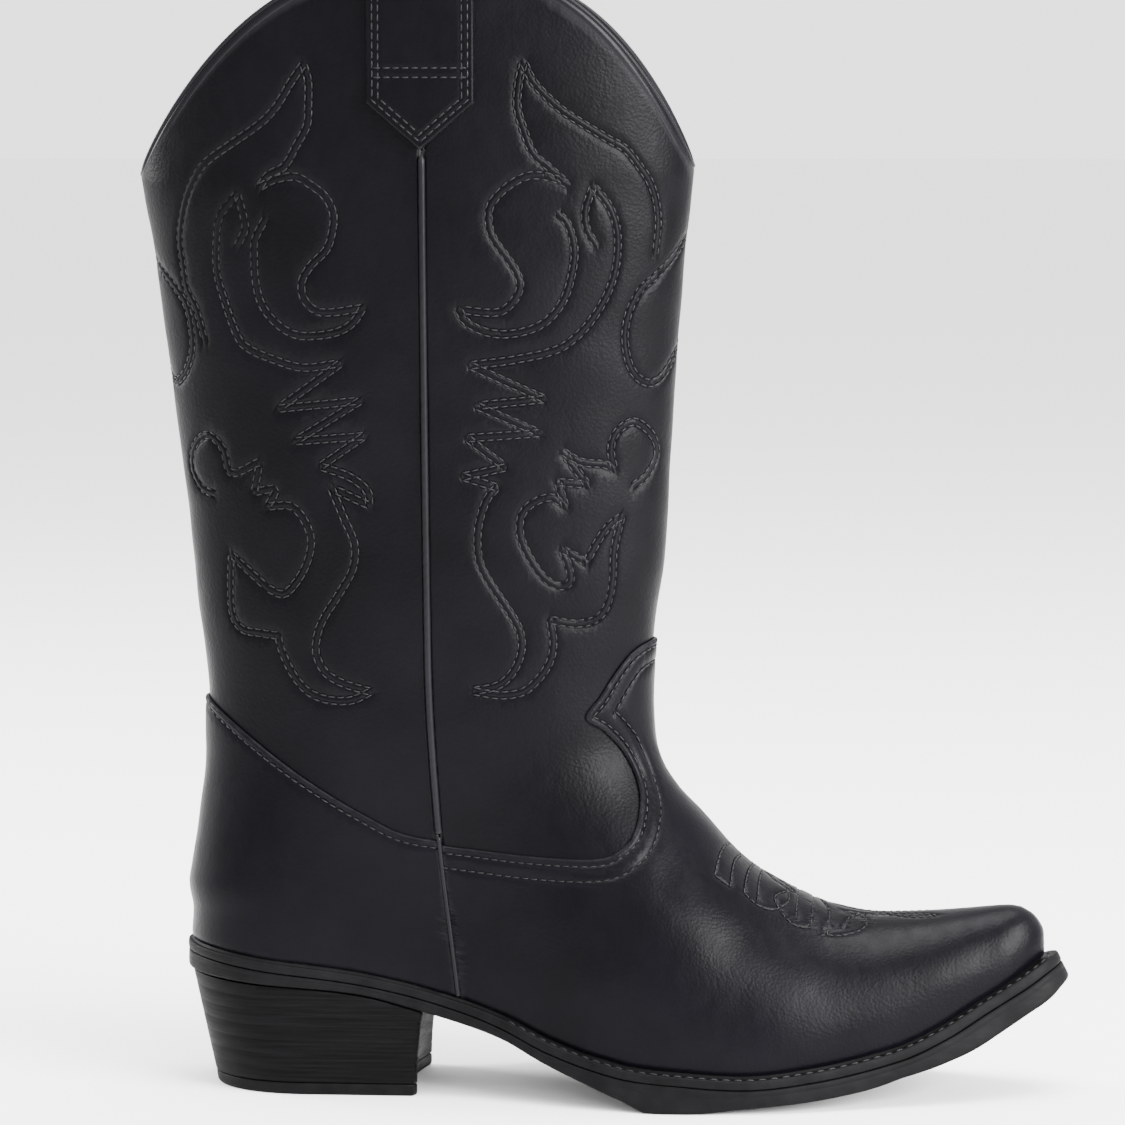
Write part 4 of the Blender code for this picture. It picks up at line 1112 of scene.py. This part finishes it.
# Side seams: bead radii, height span of the shaft's bead, and the foot bead's rise and ends.
PIPING_RADIUS = 1.15
PIPING_SPAN = (87.5, 308.5)
FOOT_PIPING_RADIUS = 0.75
FOOT_PIPING_LIFT = VAMP_OFFSET - 0.35
FOOT_PIPING_START = 0.004
FOOT_PIPING_END = 0.002
PIPING_TAPER = 300
BEAD_RIPPLE = (0.04, 1.7)
TUBE_SIDES = 12
SEAM_SAMPLES = 900
SIDES = (("lateral", -1, math.pi / 2), ("medial", 1, 3 * math.pi / 2))


def seam_station(theta, height):
    """Station where the side seam at an angle passes a height."""
    stations = np.linspace(0, 1, SEAM_SAMPLES)
    heights = base_point(stations, np.full_like(stations, theta))[:, 2]
    return np.interp(height, heights, stations)


def tube_rings(points, outward, widths, heights):
    """Rings of an oval tube along points, flattened against its outward direction."""
    run = unit(np.gradient(points, axis=0))
    side = unit(np.cross(outward, run))
    rings = []
    for k in range(TUBE_SIDES):
        turn = 2 * math.pi * k / TUBE_SIDES
        rings.append(points + side * (widths * math.cos(turn))[:, None]
                     + outward * (heights * math.sin(turn))[:, None])
    return np.stack(rings, axis=1)


def add_bead(name, theta, ends, radius, lift, nodes):
    """Bead in a side seam between two stations, with tapered ends."""
    t = np.linspace(*ends, 200)
    angles = np.full_like(t, theta)
    outward = normals(t, angles)
    points = base_point(t, angles) + outward * lift
    reach = np.clip(np.minimum(t - t[0], t[-1] - t) * PIPING_TAPER, 0.05, 1)
    taper = np.sqrt(1 - (1 - reach) ** 2)
    ripple = 1 + BEAD_RIPPLE[0] * np.sin(np.arange(len(t)) * BEAD_RIPPLE[1])
    rings = tube_rings(points, outward, radius * taper, radius * taper * ripple)
    place(sweep(name, rings, TRIM), nodes)


def add_piping():
    """Beads in the side seams of the shaft, and the flatter beads in the seams of the foot."""
    for label, _, theta in SIDES:
        low, high = seam_station(theta, PIPING_SPAN)
        node_name = label + "_side_piping"
        add_bead(node_name + "_bead", theta, (low, high), PIPING_RADIUS, 0.0, [node_name])
        add_bead(label + "_foot_piping_bead", theta, (FOOT_PIPING_START, low - FOOT_PIPING_END),
                 FOOT_PIPING_RADIUS, FOOT_PIPING_LIFT, ())


# Topline: section of the folded binding, (outward, upward), and the facing inside the mouth.
BINDING_SECTION = ((0.02, -0.9), (0.14, -0.5), (0.2, 0.4), (0.2, 1.1), (0.02, 1.35), (0.0, 1.5),
                   (0.3, 1.75), (0.42, 2.2), (0.3, 2.65), (0.0, 2.9), (-0.6, 3.0), (-1.6, 3.0),
                   (-2.2, 2.85), (-2.45, 2.5), (-2.5, 2.0), (-2.5, -0.9))
BINDING_GAP = 0.004
BINDING_STATIONS = 260
FACING_START = 0.93
FACING_END = 0.996
FACING_INSIDE = -2.85
FACING_OUTSIDE = -2.32
FACING_FOLD = (0.35, 0.004)
FACING_GRID = (14, 130)
FACING_GAP = 0.003
FACING_ROW = 0.009
FACING_ROW_END = 0.02
FACING_ROW_POINTS = 400
FACING_PITCH = 3.2
# Linings: CAD node, back half or not, and the stations between which each one runs.
LINING_SPANS = (("shaft_front_lining", False, 0.478, 1.0), ("shaft_back_lining", True, 0.478, 1.0),
                ("vamp_lining", False, 0.0, 0.475), ("heel_lining", True, 0.0, 0.475))
LINING_GRID = (60, 110)
LINING_GAP = 0.004
LINING_RIPPLE = 0.12


def half_grid(low, high, grid, backward, gap):
    """Stations and angles of a grid over the front or the back half, short of the side seams."""
    angles = centre_of(backward) + np.linspace(-1, 1, grid[1]) * (math.pi / 2 - gap)
    return np.meshgrid(np.linspace(low, high, grid[0]), angles, indexing="ij")


def skin_of(tt, aa, depth):
    """Grid of points at a distance outside the base surface."""
    return surface(tt.ravel(), aa.ravel(), depth).reshape(*tt.shape, 3)


def add_binding(label, start):
    """Folded edge binding of one half of the topline."""
    angles = np.linspace(start + BINDING_GAP, start + math.pi - BINDING_GAP, BINDING_STATIONS)
    top = np.ones_like(angles)
    points = base_point(top, angles)
    outward = normals(top, angles)
    run = unit(base_point(top, angles + 0.01) - base_point(top, angles - 0.01))
    upward = unit(np.cross(run, outward))
    rings = np.stack([points + outward * a + upward * b for a, b in BINDING_SECTION], axis=1)
    binding = sweep("topline_edge_" + label, rings, TRIM)
    place(binding, ["topline_binding_" + label])


def add_facing(label, backward):
    """Leather facing inside one half of the mouth, with the stitches along its lower edge."""
    tt, aa = half_grid(FACING_START, FACING_END, FACING_GRID, backward, FACING_GAP)
    fold = FACING_FOLD[0] * np.exp(-((tt - FACING_START) / FACING_FOLD[1]) ** 2)
    skins = [skin_of(tt, aa, depth)
             for depth in (FACING_INSIDE + fold.ravel(), np.full(tt.size, FACING_OUTSIDE))]
    place(block("topline_facing_" + label, skins, TRIM))
    ends = [aa[0, 0] + FACING_ROW_END, aa[0, -1] - FACING_ROW_END]
    along_row = np.interp(np.arange(FACING_ROW_POINTS), [0, FACING_ROW_POINTS - 1], ends)
    row = np.stack([np.full(FACING_ROW_POINTS, FACING_START + FACING_ROW), along_row], axis=1)
    stitches = add_stitches("topline_facing_stitching_" + label, [row], FACING_INSIDE, THREAD,
                            FACING_PITCH)
    place(stitches)


def add_topline():
    """Binding around the mouth of the shaft, and the facing inside it."""
    for label, start in (("front", -math.pi / 2), ("back", math.pi / 2)):
        add_binding(label, start)
        add_facing(label, label == "back")


def add_linings():
    """Textile linings of the shaft and the foot."""
    for name, backward, low, high in LINING_SPANS:
        tt, aa = half_grid(low, high, LINING_GRID, backward, LINING_GAP)
        ripple = LINING_RIPPLE * unevenness(base_point(tt.ravel(), aa.ravel()))
        skins = []
        for depth in (LINING_OFFSET - LINING_THICK + ripple, np.full(tt.size, LINING_OFFSET)):
            skin = skin_of(tt, aa, depth)
            if low == 0:
                skin[0, :, 2] = feather(skin[0, :, 0]) + UPPER_LIFT
            skins.append(skin)
        place(block(name + "_cloth", skins, LINING), [name])


# Pull straps: sizes, offsets of the two legs from the shaft wall, heights, and the loop.
STRAP_HALF_WIDTH = 17.3
STRAP_THICK = 1.75
STRAP_OUTER = 2.2
STRAP_INNER = -3.6
STRAP_TIP_Z = 310
STRAP_CORNER_Z = 325
STRAP_TOP_Z = 369
STRAP_SLOPE = (STRAP_CORNER_Z - STRAP_TIP_Z) / STRAP_HALF_WIDTH
STRAP_FLATTEN = (350, 371)
STRAP_PULL = 0.25
PIVOT_Z = 371.6
LOOP_RISE = 24
LOOP_BULGE = 8
LOOP_DEPTH = 1.15
LOOP_NECK = (0.86, 0.55)
LOOP_RELIEF_Z = 350.0
# Stitched rows of a leg: insets, heights of the cross rows, groove, crown and rounded edge.
STRAP_ROWS = (2.0, 3.9)
STRAP_CROSS_ROWS = (333.2, 336.2)
STRAP_CROSS_ENDS = (1.5, 2.5)
STRAP_GROOVE = (0.3, 0.45)
STRAP_CROWN = 0.25
STRAP_EDGE = 0.85
STRAP_EDGE_COLUMNS = (0.75, 0.45, 0.2, 0.06, 0.0)
STRAP_EDGE_BAND = 1.1
STRAP_LEAN = 0.12
STRAP_PITCH = 3.0
STRAP_THREAD_LIFT = 0.1
STRAP_ROW_TOP = STRAP_TOP_Z - 3.0
LEGS = (("outer", STRAP_OUTER, 1), ("inner", STRAP_INNER - STRAP_THICK, -1))


def strap_columns():
    """Distances across a pull strap, closer together at its folded edges."""
    inner = np.linspace(-1, 1, 45) * (STRAP_HALF_WIDTH - STRAP_EDGE_BAND)
    edge = STRAP_HALF_WIDTH - np.array(STRAP_EDGE_COLUMNS)
    return np.concatenate([-edge[::-1], inner, edge])


def strap_low(across):
    """Height of the pointed lower edge of a strap leg."""
    return STRAP_TIP_Z + (STRAP_CORNER_Z - STRAP_TIP_Z) * np.abs(across) / STRAP_HALF_WIDTH


def strap_wall(side, x, z, middle):
    """Distance of the shaft wall from the middle plane, flattened towards the loop."""
    wall = half_width(x, z, np.full(np.shape(x), side > 0))
    flat = half_width(np.array(middle), np.array(float(STRAP_TOP_Z)), np.array(side > 0))
    share = ramp(z, *STRAP_FLATTEN)
    return wall * (1 - share) + (flat - STRAP_PULL) * share


def strap_relief(across, z):
    """Rise of the strap's face: crown, folded edge and stitched grooves."""
    point = (z - strap_low(across)) / math.hypot(1, STRAP_SLOPE)
    gap = np.minimum(STRAP_HALF_WIDTH - np.abs(across), point)
    rise = STRAP_CROWN * (1 - (across / STRAP_HALF_WIDTH) ** 2)
    fold = np.clip(gap / STRAP_EDGE, 0, 1)
    rise = rise - STRAP_EDGE * (1 - np.sqrt(1 - (1 - fold) ** 2))
    depth, width = STRAP_GROOVE
    for inset in STRAP_ROWS:
        rise = rise - depth * np.exp(-((gap - inset) / width) ** 2)
    inside = ramp(gap, *STRAP_CROSS_ENDS)
    for height in STRAP_CROSS_ROWS:
        rise = rise - depth * inside * np.exp(-((z - height) / width) ** 2)
    return rise


def strap_leg(side, middle, across, offset, sign):
    """Outer and inner face of a strap leg, from its tip to the pivot."""
    shares = np.concatenate([[0, 0.004, 0.012], np.linspace(0.02, 1, 78)])
    share, a = np.meshgrid(shares, across, indexing="ij")
    low = strap_low(a)
    z = low + (PIVOT_Z - low) * share
    x = middle + a
    wall = strap_wall(side, x, z, middle)
    show = offset + sign * strap_relief(a, z)
    hide = offset - sign * (STRAP_THICK - STRAP_LEAN * (1 - share))
    return [np.stack([x, side * (wall + level), z], axis=-1)[::sign] for level in (show, hide)]


def strap_loop(side, middle, across, flat):
    """Outer and inner face of a strap's loop, from the outer leg over to the inner one."""
    turns = np.linspace(0, math.pi, 30)
    crown = LOOP_RISE - LOOP_BULGE
    ends = (LEGS[0][1], LEGS[1][1])
    neck_wide, neck_high = LOOP_BULGE * LOOP_NECK[0], crown * LOOP_NECK[1]
    arc = [(-LOOP_DEPTH + LOOP_BULGE * math.cos(a), crown + LOOP_BULGE * math.sin(a))
           for a in turns]
    line = spline([(ends[0], 0.0), (-LOOP_DEPTH + neck_wide, neck_high)] + arc[::3]
                  + [(-LOOP_DEPTH - neck_wide, neck_high), (ends[1], 0.0)], 1.0)[1:-1]
    run = unit(np.gradient(np.concatenate([[(ends[0], -1.0)], line, [(ends[1], -1.0)]]), axis=0))
    inward = np.stack([-run[1:-1, 1], run[1:-1, 0]], axis=1)
    relief = strap_relief(across, np.full_like(across, LOOP_RELIEF_Z))
    faces = [], []
    for (depth, up), (turn_y, turn_z) in zip(line, inward):
        for skins, level in zip(faces, (-relief, np.full_like(relief, STRAP_THICK))):
            y = side * (flat + depth + turn_y * level)
            skins.append(np.stack([middle + across, y, PIVOT_Z + up + turn_z * level], axis=-1))
    return [np.array(skins) for skins in faces]


def add_strap(label, side, theta):
    """Pull strap as one strip: outer leg, loop and inner leg."""
    top = np.array([seam_station(theta, STRAP_TOP_Z)])
    middle = float(base_point(top, np.array([theta]))[0, 0])
    flat = float(strap_wall(side, np.array(middle), np.array(float(PIVOT_Z)), middle))
    across = strap_columns()
    outer, inner = (strap_leg(side, middle, across, offset, sign) for _, offset, sign in LEGS)
    loop = strap_loop(side, middle, across, flat)
    skins = [np.concatenate(parts) for parts in zip(outer, loop, inner)]
    strap = block(label + "_pull_strap", skins, STRAP)
    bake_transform(strap)
    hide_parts(label + "_strap_outer_leg", label + "_strap_inner_leg",
                label + "_strap_loop")
    for leg, offset, sign in LEGS:
        add_strap_stitches("%s_strap_%s_stitching" % (label, leg), side, middle, offset, sign)


def strap_rows():
    """Stitched lines of a strap leg, as (across, height) polylines."""
    rows = []
    for inset in STRAP_ROWS:
        edge = STRAP_HALF_WIDTH - inset
        tip = STRAP_TIP_Z + inset * math.hypot(1, STRAP_SLOPE)
        corner = tip + STRAP_SLOPE * edge
        rows.append([(-edge, STRAP_ROW_TOP), (-edge, corner), (0, tip), (edge, corner),
                     (edge, STRAP_ROW_TOP)])
    edge = STRAP_HALF_WIDTH - STRAP_ROWS[0]
    return rows + [[(-edge, height), (edge, height)] for height in STRAP_CROSS_ROWS]


def add_strap_stitches(name, side, middle, offset, sign):
    """Threads of one leg of a strap."""
    here, ahead = [], []
    for row in strap_rows():
        for store, spots in zip((here, ahead), spaced(np.array(row, float), STRAP_PITCH, (0, 0.6))):
            x, z = middle + spots[:, 0], spots[:, 1]
            y = side * (strap_wall(side, x, z, middle) + offset + sign * STRAP_THREAD_LIFT)
            store.append(np.stack([x, y, z], axis=1))
    here, ahead = np.concatenate(here), np.concatenate(ahead)
    outward = np.tile([0.0, side * sign, 0.0], (len(here), 1))
    place(stitch_mesh(name, here, unit(ahead - here), outward, THREAD))


# Bottom of the boot. Levels are (drop or share of the thickness, inset from the edge).
WELT_LEDGE = (1.0, 3.3, 5.0)
WELT_FOREPART = (-70, -10)
WELT_TIP = (128, 145)
WELT_LEVELS = ((0.0, 0.9), (0.0, 0.45), (0.15, 0.12), (0.5, 0.0), (1.5, -0.05), (2.5, 0.0),
               (2.85, 0.15), (3.0, 0.4), (3.0, 0.9))
WELT_INNER = ((-9.0, -3.0), (-9.0, 0.8), (-0.7, 0.8), (-0.25, 0.0))
WELT_THICK = 3.0
WELT_STITCH_START = -30
WELT_STITCH_SHARE = 0.55
WELT_STITCH_LIFT = 0.12
WELT_STITCH_SCALE = 1.25
WELT_PITCH = 3.9
SOLE_GAP = 0.3
SOLE_LEVELS = ((0.0, 0.9), (0.0, 0.4), (0.05, 0.15), (0.12, 0.05), (0.3, 0.06), (0.32, 0.12),
               (0.36, 0.06), (0.6, 0.0), (0.8, 0.03), (0.9, 0.12), (0.97, 0.4), (1.0, 0.95))
SOLE_COLUMNS = 15
SOLE_STATIONS = 150
SQUARE_EDGE = (-60, 0)
SOLE_SHARP = 60


def plan_outline(outset, count):
    """Outer and inner points (x, y) of the foot outline, heel to toe, moved out by outset(x)."""
    phase = np.linspace(math.pi, 0, count)
    x = sum(PLAN_ENDS) / 2 + (PLAN_ENDS[1] - PLAN_ENDS[0]) / 2 * np.cos(phase)
    sides = []
    for medial, sign in ((False, -1), (True, 1)):
        reach = np.clip((x - PLAN_ENDS[0]) / HEEL_ROUND, 0, 1)
        y = sign * plan_half_width(x, medial) * np.sqrt(1 - (1 - reach) ** HEEL_POWER)
        line = np.stack([x, y], axis=1)
        run = np.gradient(line, axis=0)
        out = unit(np.stack([run[:, 1], -run[:, 0]], axis=1) * -sign)
        out[0], out[-1] = (-1, 0), (1, 0)
        sides.append(line + out * outset(x)[:, None])
    return np.stack(sides, axis=1)


def welt_outset(x):
    """Ledge of the welt beyond the upper, narrow at the heel and widest at the toe tip."""
    forepart = (WELT_LEDGE[1] - WELT_LEDGE[0]) * ramp(x, *WELT_FOREPART)
    return WELT_LEDGE[0] + forepart + (WELT_LEDGE[2] - WELT_LEDGE[1]) * ramp(x, *WELT_TIP)


def square_edge(grid, height):
    """Sole layer moved along the foot so that its edge stands square to the sole's run."""
    x = grid[..., 0]
    slope = (feather(x + 1) - feather(x - 1)) / 2 * ramp(x, *SQUARE_EDGE)
    moved = x + slope * (feather(x) - height(x))
    return np.stack([moved, grid[..., 1], height(x)], axis=-1)


def sole_grid(outset, height):
    """Grid over the foot outline at a height that depends on x."""
    outline = plan_outline(outset, SOLE_STATIONS)
    shares = np.sin(np.linspace(-1, 1, SOLE_COLUMNS) * math.pi / 2)[:, None] * 0.5 + 0.5
    return square_edge(outline[:, :1] * (1 - shares) + outline[:, 1:] * shares, height)


def sole_ring(outset, height):
    """Closed line around a sole grid."""
    level = sole_grid(outset, height)
    return np.concatenate([level[:, 0], level[-2:0:-1, -1]])


def add_welt():
    """Welt with a rounded edge and a lip that closes the gap under the upper."""
    rings = [sole_ring(lambda x: welt_outset(x) - inset, lambda x: feather(x) - drop)
             for drop, inset in WELT_LEVELS]
    rings += [sole_ring(lambda x: np.full_like(x, outset), lambda x: feather(x) + height)
              for outset, height in WELT_INNER]
    welt = sweep("welt_strip", np.stack(rings, axis=1), RUBBER, closed=True, sharp=SOLE_SHARP)
    place(welt, ["welt"])


def add_outsole():
    """Outsole with its trimmed edge."""
    levels = []
    for share, inset in SOLE_LEVELS:
        def height(x):
            top = feather(x) - WELT_THICK - SOLE_GAP
            return top + (sole_bottom(x) - top) * share
        levels.append(sole_grid(lambda x: welt_outset(x) - inset, height))
    sole = block("outsole_trimmed", levels[::-1], RUBBER, SOLE_SHARP)
    place(sole, ["outsole"])


def add_welt_stitches():
    """Threads along the welt, from the waist around the toe."""
    line = plan_outline(lambda x: welt_outset(x) * WELT_STITCH_SHARE, 1500)
    centres, runs = [], []
    for path in (line[:, 0], line[:, 1]):
        path = path[(path[:, 0] > WELT_STITCH_START) & (np.abs(path[:, 1]) > 1.5)]
        points = np.stack([path[:, 0], path[:, 1], feather(path[:, 0])], axis=1)
        here, ahead = spaced(points, WELT_PITCH, (-0.4, 0.4))
        centres.append((here + ahead) / 2)
        runs.append(unit(ahead - here))
    centres, runs = np.concatenate(centres), np.concatenate(runs)
    upward = unit(np.cross(np.cross(runs, [0.0, 0.0, 1.0]), runs))
    stitches = stitch_mesh("welt_stitching", centres + upward * WELT_STITCH_LIFT, runs, upward,
                           THREAD, WELT_STITCH_SCALE, WELT_STITCH_SCALE)
    place(stitches)


# Heel: D-shaped sections, narrower at the floor; layers of the stack as (share, inset).
BREAST_X = -57.3
BREAST_HOLLOW = 4
HEEL_BACK_TOP = -137.5
HEEL_BACK_FLOOR = -129.5
HEEL_FLOOR_BREAST = -59.5
HEEL_HALF_TOP = 29
HEEL_HALF_FLOOR = 26.5
HEEL_CORNER = 1.6
HEEL_CORNER_BAND = (0.93, 1.0)
HEEL_GRID = (44, 25)
HEEL_LAYERS = 7
HEEL_LAYER = ((0.0, 0.16), (0.08, 0.02), (0.5, 0.0), (0.92, 0.02), (1.0, 0.16))
HEEL_START = 0.08
HEEL_SEAT_INSET = 0.5
LIFT_THICK = 4.0
LIFT_SHARE = 0.06
LIFT_LEVELS = ((0.0, 1.1), (0.08, 0.7), (0.3, 0.35), (0.8, 0.08), (1.4, 0.0), (3.4, 0.0),
               (3.8, 0.1), (4.0, 0.35))


def heel_grid(share, height, inset):
    """Grid of the heel's D-shaped section; share runs from 0 at the floor to 1 at the seat."""
    back = HEEL_BACK_FLOOR + (HEEL_BACK_TOP - HEEL_BACK_FLOOR) * share + inset
    breast = HEEL_FLOOR_BREAST + (BREAST_X - HEEL_FLOOR_BREAST) * share ** 2 - inset
    half = HEEL_HALF_FLOOR + (HEEL_HALF_TOP - HEEL_HALF_FLOOR) * share - inset
    stations = 1 - np.cos(np.linspace(0, math.pi / 2, HEEL_GRID[0]))
    columns = np.sin(np.linspace(-1, 1, HEEL_GRID[1]) * math.pi / 2)
    run, across = np.meshgrid(stations, columns, indexing="ij")
    front = breast - BREAST_HOLLOW * (1 - across ** 2)
    corner = HEEL_CORNER * ramp(np.abs(across), *HEEL_CORNER_BAND)
    x = back + (front - corner - back) * run
    reach = np.clip((x - back) / HEEL_ROUND, 0, 1)
    y = across * half * np.sqrt(1 - (1 - reach) ** HEEL_POWER)
    return np.stack([x, y, height(x)], axis=-1)


def add_heel():
    """Stacked heel block with its layers, and the rubber top-lift."""
    floor = LIFT_THICK + SOLE_GAP
    rises = [((layer + share) / HEEL_LAYERS, inset)
             for layer in range(HEEL_LAYERS) for share, inset in HEEL_LAYER]
    rises[-1] = (rises[-1][0], HEEL_SEAT_INSET)
    levels = []
    for rise, inset in rises:
        def height(x):
            return floor + (sole_bottom(x) - SOLE_GAP - floor) * rise
        levels.append(heel_grid(HEEL_START + (1 - HEEL_START) * rise, height, inset))
    heel = block("heel_block_stack", levels, HEEL, SOLE_SHARP)
    place(heel, ["heel_block"])
    levels = [heel_grid(z / LIFT_THICK * LIFT_SHARE, lambda x: np.full_like(x, z), inset)
              for z, inset in LIFT_LEVELS]
    lift = block("heel_lift_rubber", levels, LIFT_RUBBER, SOLE_SHARP)
    place(lift, ["heel_top_lift"])


# Sock liner: levels as (rise, inset), and dents of the heel and the ball as (x, reach).
SOCK_LEVELS = ((0.0, 1.0), (0.3, 0.3), (1.2, 0.0), (2.2, 0.1), (2.8, 0.6), (3.0, 1.4))
SOCK_RISE = 4.3
SOCK_INSET = 6.2
SOCK_DENTS = ((-105, 26), (40, 34))
DENT_DEPTH = 0.7
DENT_WIDTH = 24


def add_sock():
    """Foam sock liner with a soft rolled edge, dented under the heel and the ball."""
    levels = [sole_grid(lambda x: np.full_like(x, -SOCK_INSET - inset),
                        lambda x: feather(x) + SOCK_RISE + rise)
              for rise, inset in SOCK_LEVELS]
    top = levels[-1]
    for x, reach in SOCK_DENTS:
        near = np.exp(-((top[..., 0] - x) / reach) ** 2 - (top[..., 1] / DENT_WIDTH) ** 2)
        top[..., 2] -= DENT_DEPTH * near
    sock = block("sock_liner_foam", levels, SOCK, SOLE_SHARP)
    place(sock, ["sock_liner"])


HIDDEN_FINISHES = {"toe_puff": BOARD, "counter_stiffener": BOARD, "insole_board": BOARD,
                   "bottom_filler": CORK, "shank": STEEL}


def finish_hidden():
    """Procedural materials for the CAD pieces that stay as they are, inside the boot."""
    for name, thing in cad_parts.items():
        material = HIDDEN_FINISHES.get(name) or (STEEL if "nail" in name else None)
        if material:
            for slot_place in thing.material_slots:
                slot_place.material = material


# Studio: soft boxes as (name, place, size, power), floor, world and camera.
LIGHTS = (("left_box", (-1.5, 0.55, 0.85), (0.6, 1.1), 52),
          ("right_box", (1.5, -1.0, 0.8), (1.2, 1.0), 185),
          ("top_box", (0.25, -0.1, 1.9), (1.3, 1.0), 95),
          ("front_box", (-0.7, -1.9, 1.5), (0.9, 0.7), 12))
LIGHT_AIM = (0, 0, 0.15)
FLOOR_SIZE = 60
FLOOR_TONE = 0.9
FLOOR_ROUGH = 0.7
WORLD_STRENGTH = 2.5
VIEW_TURN = 4
VIEW_DISTANCE = 1.5
VIEW_RISE = 0.148
VIEW_TARGET = (-0.0139, 0, 0.1742)
VIEW_LENS = 146.1
SENSOR_WIDTH = 36


def add_light(name, place_at, size, power):
    """Soft box that faces the boot."""
    data = bpy.data.lights.new(name, "AREA")
    data.shape = "RECTANGLE"
    data.size, data.size_y = size
    data.energy = power
    light = bpy.data.objects.new(name, data)
    bpy.context.scene.collection.objects.link(light)
    light.location = place_at
    aim = Vector(LIGHT_AIM) - Vector(place_at)
    light.rotation_euler = aim.to_track_quat("-Z", "Y").to_euler()


def add_floor():
    """Pale floor."""
    bpy.ops.mesh.primitive_plane_add(size=FLOOR_SIZE)
    floor = bpy.context.object
    floor.name = "floor"
    material, _, shader = new_material("floor")
    shader.inputs["Base Color"].default_value = (FLOOR_TONE, FLOOR_TONE, FLOOR_TONE, 1)
    shader.inputs["Roughness"].default_value = FLOOR_ROUGH
    floor.data.materials.append(material)


def add_world():
    """White surroundings."""
    world = bpy.data.worlds.new("studio")
    bpy.context.scene.world = world
    world.use_nodes = True
    background = world.node_tree.nodes["Background"]
    background.inputs["Color"].default_value = (1, 1, 1, 1)
    background.inputs["Strength"].default_value = WORLD_STRENGTH


def add_camera():
    """Camera that looks at the outer side of the boot."""
    camera = bpy.data.objects.new("camera", bpy.data.cameras.new("camera"))
    bpy.context.scene.collection.objects.link(camera)
    bpy.context.scene.camera = camera
    turn = math.radians(VIEW_TURN)
    offset = Vector((VIEW_DISTANCE * math.sin(turn), -VIEW_DISTANCE * math.cos(turn), VIEW_RISE))
    camera.location = Vector(VIEW_TARGET) + offset
    camera.rotation_euler = (-offset).to_track_quat("-Z", "Y").to_euler()
    camera.data.sensor_width = SENSOR_WIDTH
    camera.data.lens = VIEW_LENS


add_upper()
add_piping()
add_topline()
add_linings()
for strap_label, strap_side, strap_theta in SIDES:
    add_strap(strap_label, strap_side, strap_theta)
add_welt()
add_outsole()
add_welt_stitches()
add_heel()
add_sock()
finish_hidden()
add_floor()
add_world()
for light_settings in LIGHTS:
    add_light(*light_settings)
add_camera()
